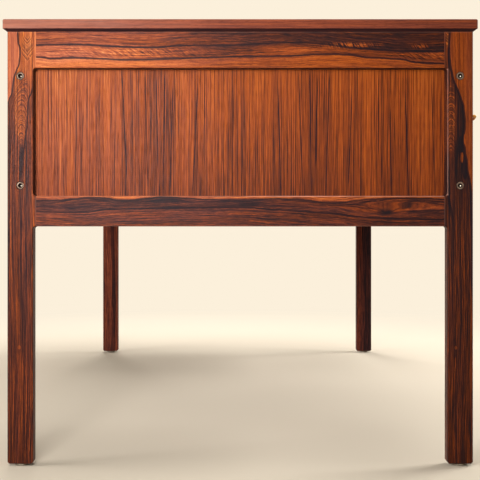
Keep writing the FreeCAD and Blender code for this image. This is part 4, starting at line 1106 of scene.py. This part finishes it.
def panel_extras(along, across, zone):
    """Tones, needles and redness of the panel, and painted light that makes it lighter at the top and towards
    the left, from shares across it and up the opening.
    """
    low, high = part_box("left_outer_side")
    share = (high.y - across) / (high.y - low.y)
    up = (along - OPENING[0]) / (OPENING[1] - OPENING[0])
    ink = panel_needles(share, up, high.y - low.y)
    zone = (zone - VENEER_DARK_SHARE) * PANEL_RANDOM_SHARE + VENEER_DARK_SHARE
    zone = zone + (drawn_line(share, PANEL_TONE_SHARES) - MIDDLE_SHARE) * PANEL_TONE_SHARE
    zone = zone + blend(*PANEL_TOP_LIGHT_SHARES, up) + drawn_line(share, PANEL_SIDE_LIGHT_SHARES) - MIDDLE_SHARE
    return zone, ink, fade(share, *PANEL_ROSE_REACH_SHARES) * PANEL_ROSE_SHARE


veneer("left_outer_side", "ZYX", 13, extras=panel_extras, shares=PANEL_FIGURE_SHARES, runs=PANEL_RUN_SHARES)
print("needles drawn on the panel:", len(PANEL_NEEDLE_SHARES))

# %% [markdown]
# The other boards follow the recipe. The top, the back and the door have wide leaves with arches. The drawer
# fronts share one plank number, so the three look sawn from one board.

# %% The other boards
DRAWERS = ("top_drawer", "middle_drawer", "bottom_drawer")
DRAWER_FRONT_PLANK = 26
# Each row: name, directions, plank, and for a crown the width of its leaves and the reach of its arches.
VENEERED_BOARDS = (
    ("right_outer_side", "ZYX", 14),
    ("left_inner_side", "ZYX", 15),
    ("right_inner_side", "ZYX", 16),
    ("top_panel", "XYZ", 17, 0.19, 0.12),
    ("back_panel", "ZXY", 18, 0.21, 0.12),
    ("door_panel", "ZXY", 19, 0.19, 0.07),
    ("kneehole_apron", "XZY", 20),
    ("left_front_rail", "XZY", 21),
    ("right_front_rail", "XZY", 22),
    ("left_bottom", "XYZ", 23),
    ("right_bottom", "XYZ", 24),
    ("cabinet_shelf", "XYZ", 25),
    *[(drawer + "_front", "XZY", DRAWER_FRONT_PLANK) for drawer in DRAWERS],
)
for board in VENEERED_BOARDS:
    veneer(*board)
print("veneered boards:", len(VENEERED_BOARDS) + 1)

# %% [markdown]
# ## Drawer wood
# Drawer sides, backs and runners are beech: pale, with short darker flecks. The bottoms are birch plywood,
# whose edge shows its plies as stripes. Both have a thin coat of lacquer and are a little rough.

# %% Beech and plywood
BEECH_STOPS = ((0.2, paint(226, 190, 148)), (0.5, paint(208, 166, 120)), (0.8, paint(186, 140, 96)))
FLECK_COLOUR = paint(160, 108, 70)
PLY_STOPS = ((0.2, paint(228, 198, 156)), (0.5, paint(214, 178, 132)), (0.8, paint(192, 150, 104)))
GLUE_COLOUR = paint(140, 96, 62)
PLIES_PER_M = 1000.0
PLY_EDGE = (0.0001, 0.0003)
BEECH_SLOW_PER_M = (2.0, 22.0, 22.0)
BEECH_FIBRES_PER_M = (16.0, 700.0, 700.0)
FLECKS_PER_M = (260.0, 1900.0, 1900.0)
SWIRLS_PER_M = (3.0, 14.0, 0.0)
PLY_FIBRES_PER_M = (12.0, 600.0, 0.0)
TONE_START_SHARE = -0.05
BEECH_SLOW_SHARE = 0.7
BEECH_FIBRE_SHARE = 0.4
BEECH_ROUGH_SHARES = (0.44, 0.18)
FLECK_SHARES = (0.63, 0.72)
FLECK_STRENGTH_SHARE = 0.45
SOILED_SHARE = 0.4
ONE_PLY = 1.0
PLY_SWIRL_SHARE = 0.8
PLY_FIBRE_SHARE = 0.3
PLY_ROUGH_SHARES = (0.48, 0.15)
GLUE_SHARES = (0.75, 0.95)
GLUE_STRENGTH_SHARE = 0.8


def beech(name, order, plank):
    """A beech board, a little soiled along its edges."""
    material, axes, place = wood(name + "_beech", order, plank)
    slow = noise(place, BEECH_SLOW_PER_M)
    fibres = noise(place, BEECH_FIBRES_PER_M)
    flecks = fade(noise(place, FLECKS_PER_M, detail=0.0), *FLECK_SHARES)
    wear = edge_wear(axes, order, *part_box(name))
    tone = slow * BEECH_SLOW_SHARE + fibres * BEECH_FIBRE_SHARE + TONE_START_SHARE
    colour = washed(tinted(tone, BEECH_STOPS), FLECK_COLOUR, flecks * FLECK_STRENGTH_SHARE)
    colour = washed(colour, FLECK_COLOUR, wear * (slow * SOILED_SHARE))
    satin(colour, fibres * BEECH_ROUGH_SHARES[1] + BEECH_ROUGH_SHARES[0], fibres - flecks)
    dress(name, material)


def plywood(name, plank):
    """A plywood bottom, with dark glue lines between the plies on its edges."""
    low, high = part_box(name)
    material, axes, place = wood(name + "_plywood", "XYZ", plank)
    depth = axes[2]
    swirl = noise(place, SWIRLS_PER_M, detail=3.0)
    fibres = noise(place, PLY_FIBRES_PER_M)
    plies = ((depth - low.z) * PLIES_PER_M).math("PINGPONG", ONE_PLY)
    inside = (depth - low.z).math("MINIMUM", high.z - depth)
    glue = fade(plies, *GLUE_SHARES) * fade(inside, *PLY_EDGE) * GLUE_STRENGTH_SHARE
    tone = swirl * PLY_SWIRL_SHARE + fibres * PLY_FIBRE_SHARE + TONE_START_SHARE
    colour = washed(tinted(tone, PLY_STOPS), GLUE_COLOUR, glue)
    satin(colour, fibres * PLY_ROUGH_SHARES[1] + PLY_ROUGH_SHARES[0], fibres)
    dress(name, material)


DRAWER_BOARDS = (("left_side", "YZX", 30), ("right_side", "YZX", 33), ("back", "XZY", 36))
PLY_PLANK = 39
CASE_BOARDS = (("drawer_runners", "YZX", 42), ("left_rear_rail", "XZY", 43), ("right_rear_rail", "XZY", 44))
for count, drawer in enumerate(DRAWERS):
    for board, order, plank in DRAWER_BOARDS:
        beech(f"{drawer}_{board}", order, plank + count)
    plywood(drawer + "_bottom", PLY_PLANK + count)
for board in CASE_BOARDS:
    beech(*board)
print("drawers dressed:", len(DRAWERS))

# %% [markdown]
# ## Metal and feet
# The fittings are old: the brass has gone brown where nobody rubs it, and the nickel on the frame bolts is
# dull. Both are metal with a roughness that noise breaks up. A bolt head is darker round its rim, its socket
# is painted dark as shade, and one side of the socket has a painted glint. The glides under the legs are worn
# nylon.

# %% Brass, nickel and nylon
BRASS_STOPS = ((0.30, paint(202, 150, 76)), (0.50, paint(174, 122, 58)), (0.72, paint(120, 78, 42)))
# The palest nickel stop shows the painted glint in the bolt sockets.
NICKEL_STOPS = (
    (0.05, paint(250, 244, 232)), (0.32, paint(132, 112, 97)), (0.56, paint(102, 85, 74)),
    (0.80, paint(52, 40, 35)), (1.00, paint(14, 11, 11)),
)
NYLON_STOPS = ((0.30, paint(196, 186, 168)), (0.60, paint(164, 150, 130)), (0.80, paint(116, 100, 84)))
SCRATCH_SHARE = 0.2
SCRATCH_RUNS = (14, 14, 2)
TARNISH_SHARE = 0.65
BOLT_HEAD = 0.0065
BOLT_Y = LEG_INNER_Y + LEG_WIDTH / 2
BOLT_LEVELS = (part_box("frame_bolts")[0].z + BOLT_HEAD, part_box("frame_bolts")[1].z - BOLT_HEAD)
BOLT_RIM = (0.0056, 0.0066)
BOLT_SOCKET = (0.0040, 0.0032)
BOLT_GLINT_PLACE = (-0.0011, -0.0005)
BOLT_GLINT = (0.0017, 0.0009)
BOLT_RIM_SHARE = 0.32
BOLT_SOCKET_SHARE = 0.50
BOLT_GLINT_SHARE = -0.95


def bolt_shade_and_glint(place):
    """How much darker a bolt head is: darker round its rim, painted shade in its socket, and a painted glint
    on one side of the socket.
    """
    sides = apart(place)
    y, z = sides["Y"], sides["Z"]
    from_y = y - y.math("SIGN") * BOLT_Y
    from_z = z - blend(*BOLT_LEVELS, z.math("GREATER_THAN", sum(BOLT_LEVELS) / 2))
    radius = distance(from_y, from_z)
    # Painted shade fills the socket, and a painted glint lights one side of it.
    inside = fade(radius, *BOLT_SOCKET)
    glint = fade(distance(from_y - BOLT_GLINT_PLACE[0], from_z - BOLT_GLINT_PLACE[1]), *BOLT_GLINT) * BOLT_GLINT_SHARE
    return fade(radius, *BOLT_RIM) * BOLT_RIM_SHARE + inside * (glint + BOLT_SOCKET_SHARE)


def fitting(names, label, stops, marks, metal, rough, shade_and_glint=None):
    """A worn fitting; marks are the stains per metre, rough the least and the added roughness."""
    material = new_material(label)
    place = desk_place(material)
    stains = noise(place, (marks, marks, marks), detail=4.0, roughness=TARNISH_SHARE)
    scratches = noise(place, [marks * run for run in SCRATCH_RUNS])
    if shade_and_glint:
        stains = stains + shade_and_glint(place)
    colour = tinted((scratches - MIDDLE_SHARE) * SCRATCH_SHARE + stains, stops)
    surface(colour, stains * rough[1] + rough[0], scratches, MIDDLE_SHARE, Metallic=metal)
    for name in names:
        dress(name, material)
    return material


BRASS_PIECES = (
    "case_hinge_leaves", "door_hinge_leaves", "hinge_pins", "door_escutcheon", "door_key", "door_lock_case",
    "strike_plate", "shelf_pins", "bolt_inserts",
)
# Each row: pieces, name of the finish, tones, stains per metre, metal or not, roughness, painted shade and
# glint.
FITTINGS = (
    (BRASS_PIECES, "aged_brass", BRASS_STOPS, 160.0, 1.0, (0.26, 0.26)),
    (("frame_bolts",), "bolt_nickel", NICKEL_STOPS, 180.0, 1.0, (0.52, 0.20), bolt_shade_and_glint),
    (("top_screws", "door_lock_bolt"), "dull_nickel", NICKEL_STOPS, 180.0, 1.0, (0.30, 0.28)),
    (("leg_glides",), "worn_nylon", NYLON_STOPS, 120.0, 0.0, (0.45, 0.30)),
)
finishes = {row[1]: fitting(*row) for row in FITTINGS}
print("pieces dressed:", len(dressed), "of", len(nodes), "left:", sorted(set(nodes) - set(dressed)))

# %% [markdown]
# ## Key
# The key of the cupboard was cast in brass and filed smooth. Its bow is a ring, nearly square in outline and
# round in section, so that it fills the fingers. The stem is turned, with a collar between two beads. The
# ring is made by carrying a round section along a squared oval, and the stem by carrying a profile round an
# axis. Both stay inside the place that the CAD gives the key.

# %% A cast key
def turns(count):
    """The angles of so many even steps round a circle."""
    return [math.tau * step / count for step in range(count)]


def skin(work, rings):
    """Faces between each ring of points and the next."""
    for first, second in zip(rings, rings[1:]):
        for step in range(len(first)):
            after = (step + 1) % len(first)
            work.faces.new((first[step], first[after], second[after], second[step]))


def middle(name):
    """The middle of a CAD piece's box."""
    low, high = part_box(name)
    return (low + high) / 2


KEY_PLACE = Vector((middle("door_key").x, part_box("door_key")[0].y, middle("door_key").z))
KEY_TILT = math.radians(15)
BOW_HALF_SIZES = (0.011, 0.008)
BOW_SECTION = 0.0022
BOW_POWER_SHARE = 0.5
BOW_STEPS = 64
SECTION_STEPS = 14
STEM_STEPS = 28
STEM_PROFILE = (
    (0.0143, 0.0019), (0.0150, 0.0025), (0.0158, 0.0025), (0.0160, 0.0030), (0.0164, 0.0032),
    (0.0168, 0.0030), (0.0169, 0.0034), (0.0173, 0.0035), (0.0177, 0.0034), (0.0178, 0.0030),
    (0.0181, 0.0032), (0.0184, 0.0030), (0.0185, 0.0025), (0.0396, 0.0025), (0.0400, 0.0022),
)


def squared_oval(turn):
    """A point of an oval with nearly straight sides, from -1 to 1 both ways."""
    pair = (math.cos(turn), math.sin(turn))
    return [math.copysign(abs(value) ** BOW_POWER_SHARE, value) for value in pair]


def add_bow(work):
    """The ring that the fingers hold; it lies flat, with its far end at the start of the key."""
    half_x, half_y = [size - BOW_SECTION for size in BOW_HALF_SIZES]
    path = []
    for turn in turns(BOW_STEPS):
        u, v = squared_oval(turn + math.pi / BOW_STEPS)
        path.append(Vector((u * half_x, v * half_y + BOW_HALF_SIZES[1], 0)))
    rings = []
    up = Vector((0, 0, BOW_SECTION))
    for step, point in enumerate(path):
        run = (path[(step + 1) % BOW_STEPS] - path[step - 1]).normalized()
        side = Vector((run.y, -run.x, 0)) * BOW_SECTION
        points = [point + side * math.cos(turn) + up * math.sin(turn) for turn in turns(SECTION_STEPS)]
        rings.append([work.verts.new(place) for place in points])
    skin(work, rings + rings[:1])


def add_stem(work):
    """The turned stem with its collar, along the key."""
    rings = []
    for along, radius in STEM_PROFILE:
        points = [(radius * math.cos(turn), along, radius * math.sin(turn)) for turn in turns(STEM_STEPS)]
        rings.append([work.verts.new(point) for point in points])
    skin(work, rings)
    work.faces.new(rings[0])
    work.faces.new(rings[-1])


def cast_key():
    """The key with its bow and stem, turned a little, as it is left in the lock."""
    work = bmesh.new()
    add_bow(work)
    add_stem(work)
    bmesh.ops.recalc_face_normals(work, faces=work.faces)
    work.transform(Matrix.Translation(KEY_PLACE) @ Matrix.Rotation(KEY_TILT, 4, "Y"))
    key = new_object("cast_key", work, finishes["aged_brass"])
    key.data.shade_smooth()
    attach(key, "key")
    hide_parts("door_key")
    return key


print("key faces:", len(cast_key().data.polygons))

# %% [markdown]
# ## Small screws
# Hinge leaves, lock, strike plate and drawer runners are held by small slotted screws. Their heads are
# countersunk and stand a hair proud, less than the play between the leaves of the hinge, so the door still
# shuts. Each head is made of two half discs with the slot between them, and the floor of the slot is painted
# dark as shade. All the heads that move together are one mesh.

# %% Slotted heads
HEAD_RISE = 0.00012
SLOT_FLOOR = 0.00003
SLOT_SHARE = 0.15
HEAD_TOP_SHARE = 0.88
HEAD_STEPS = 14
# These tones paint the slot floors dark as shade.
SLOT_SHADE_STOPS = ((0.30, paint(70, 48, 30)), (0.55, paint(44, 30, 22)), (0.75, paint(28, 20, 17)))
PAINTED_SLOT_SHADE = ("painted_slot_shade", SLOT_SHADE_STOPS, 200.0, 0.0, (0.6, 0.3))
painted_slot_shade = fitting((), *PAINTED_SLOT_SHADE)


def half_head(work, frame_at, radius, side):
    """One half disc of a head; side says on which side of the slot it lies."""
    slot = radius * SLOT_SHARE
    start = math.asin(SLOT_SHARE)
    angles = [start + (math.pi - 2 * start) * step / HEAD_STEPS for step in range(HEAD_STEPS + 1)]
    outline = [(radius * math.cos(angle), radius * math.sin(angle)) for angle in angles]
    shrunk = [(u * HEAD_TOP_SHARE, max(v * HEAD_TOP_SHARE, slot)) for u, v in outline]
    foot = [work.verts.new(frame_at @ Vector((u * side, v * side, 0))) for u, v in outline]
    top = [work.verts.new(frame_at @ Vector((u * side, v * side, HEAD_RISE))) for u, v in shrunk]
    work.faces.new(top)
    skin(work, [foot, top])


def slotted_head(work, place, facing, radius, turn):
    """A screw head at a place, facing out of its plate, with its slot at a chance angle."""
    look = Vector(facing).to_track_quat("Z", "Y").to_matrix().to_4x4()
    frame_at = Matrix.Translation(place) @ look @ Matrix.Rotation(turn, 4, "Z")
    half_head(work, frame_at, radius, 1)
    half_head(work, frame_at, radius, -1)
    reach = radius * HEAD_TOP_SHARE
    slot = radius * SLOT_SHARE
    corners = ((-reach, -slot), (reach, -slot), (reach, slot), (-reach, slot))
    # The slot's floor takes the second material, painted dark as shade.
    floor = work.faces.new([work.verts.new(frame_at @ Vector((u, v, SLOT_FLOOR))) for u, v in corners])
    floor.material_index = 1


def screw_set(name, body, rows):
    """All the heads that ride on one body, as one piece; rows are (place, facing, radius)."""
    work = bmesh.new()
    for count, (place, facing, radius) in enumerate(rows):
        slotted_head(work, place, facing, radius, count * PLANK_STEP)
    heads = new_object(name, work, finishes["aged_brass"], painted_slot_shade)
    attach(heads, body)
    print(name, len(rows), "heads")


# The tones of the painted shade in the slots.
print("tones of old dirt:", len(SLOT_SHADE_STOPS))

# %% [markdown]
# Every screw is placed from the fitting that it holds, so the screws follow if the fitting moves. On a hinge
# leaf the middle screw stands nearer to the back edge than the others, so that the three don't split the
# wood along one line of grain. The runners have three screws each.

# %% Screws in their places
HINGE_HEIGHT = 0.050
HINGE_SCREWS = ((0.0110, 0.009), (0.0045, 0.025), (0.0110, 0.041))
HINGE_HEAD = 0.0026
LEAF_GAP = 0.0002
RUNNER_DEPTH = 0.008
RUNNER_INSETS = (0.0537, 0.0540)
RUNNER_HEAD = 0.0030
STRIKE_INSET = 0.0034
STRIKE_HEAD = 0.0019
LOCK_EDGE_INSET = 0.004
LOCK_BACK_INSETS = (0.006, 0.014)
LOCK_HEAD = 0.0024
LOCK_Y = middle("door_lock_case").y
PIN_SPREAD = 0.0056
PIN_HEAD = 0.0010


def both_ends(low, high, inset):
    """Two places, each as far from its end."""
    return (low + inset, high - inset)


def heads_at(facing, radius, xs, ys, zs):
    """Heads of one size that face one way, wherever the given places cross."""
    return [((x, y, z), facing, radius) for z in zs for x in xs for y in ys]


def hinge_heads(side):
    """Heads in two hinge leaves, which face right where side is 1 and left where it is -1."""
    low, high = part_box("case_hinge_leaves")
    x = middle("case_hinge_leaves").x - side * LEAF_GAP
    feet = (low.z, high.z - HINGE_HEIGHT)
    places = [(x, high.y - inset, foot + rise) for foot in feet for inset, rise in HINGE_SCREWS]
    return [(place, (side, 0, 0), HINGE_HEAD) for place in places]


def runner_heads():
    """Three heads in each drawer runner, from the lowest runner up."""
    low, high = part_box("drawer_runners")
    levels = [middle(drawer + "_left_side").z for drawer in reversed(DRAWERS)]
    first, last = low.y + RUNNER_INSETS[0], high.y - RUNNER_INSETS[1]
    columns = (first, (first + last) / 2, last)
    left, right = both_ends(low.x, high.x, RUNNER_DEPTH)
    heads = heads_at((1, 0, 0), RUNNER_HEAD, [left], columns, levels)
    return heads + heads_at((-1, 0, 0), RUNNER_HEAD, [right], columns, levels)


def lock_heads():
    """Heads in the edge of the lock and in its back, and two small ones beside the keyhole."""
    low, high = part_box("door_lock_case")
    levels = both_ends(low.z, high.z, LOCK_EDGE_INSET)
    heads = heads_at((-1, 0, 0), LOCK_HEAD, [low.x], [LOCK_Y], levels)
    columns = both_ends(low.x, high.x, LOCK_BACK_INSETS[0])
    levels = both_ends(low.z, high.z, LOCK_BACK_INSETS[1])
    heads += heads_at((0, 1, 0), LOCK_HEAD, columns, [high.y], levels)
    columns = (KEY_PLACE.x - PIN_SPREAD, KEY_PLACE.x + PIN_SPREAD)
    return heads + heads_at((0, -1, 0), PIN_HEAD, columns, [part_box("door_escutcheon")[0].y], [KEY_PLACE.z])


strike_low, strike_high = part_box("strike_plate")
strike_levels = both_ends(strike_low.z, strike_high.z, STRIKE_INSET)
strike_heads = heads_at((1, 0, 0), STRIKE_HEAD, [strike_high.x], [LOCK_Y], strike_levels)
screw_set("case_screw_heads", "desk", hinge_heads(-1) + strike_heads + runner_heads())
screw_set("door_screw_heads", "door", hinge_heads(1) + lock_heads())

# %% [markdown]
# The dressing must not make the desk any larger.
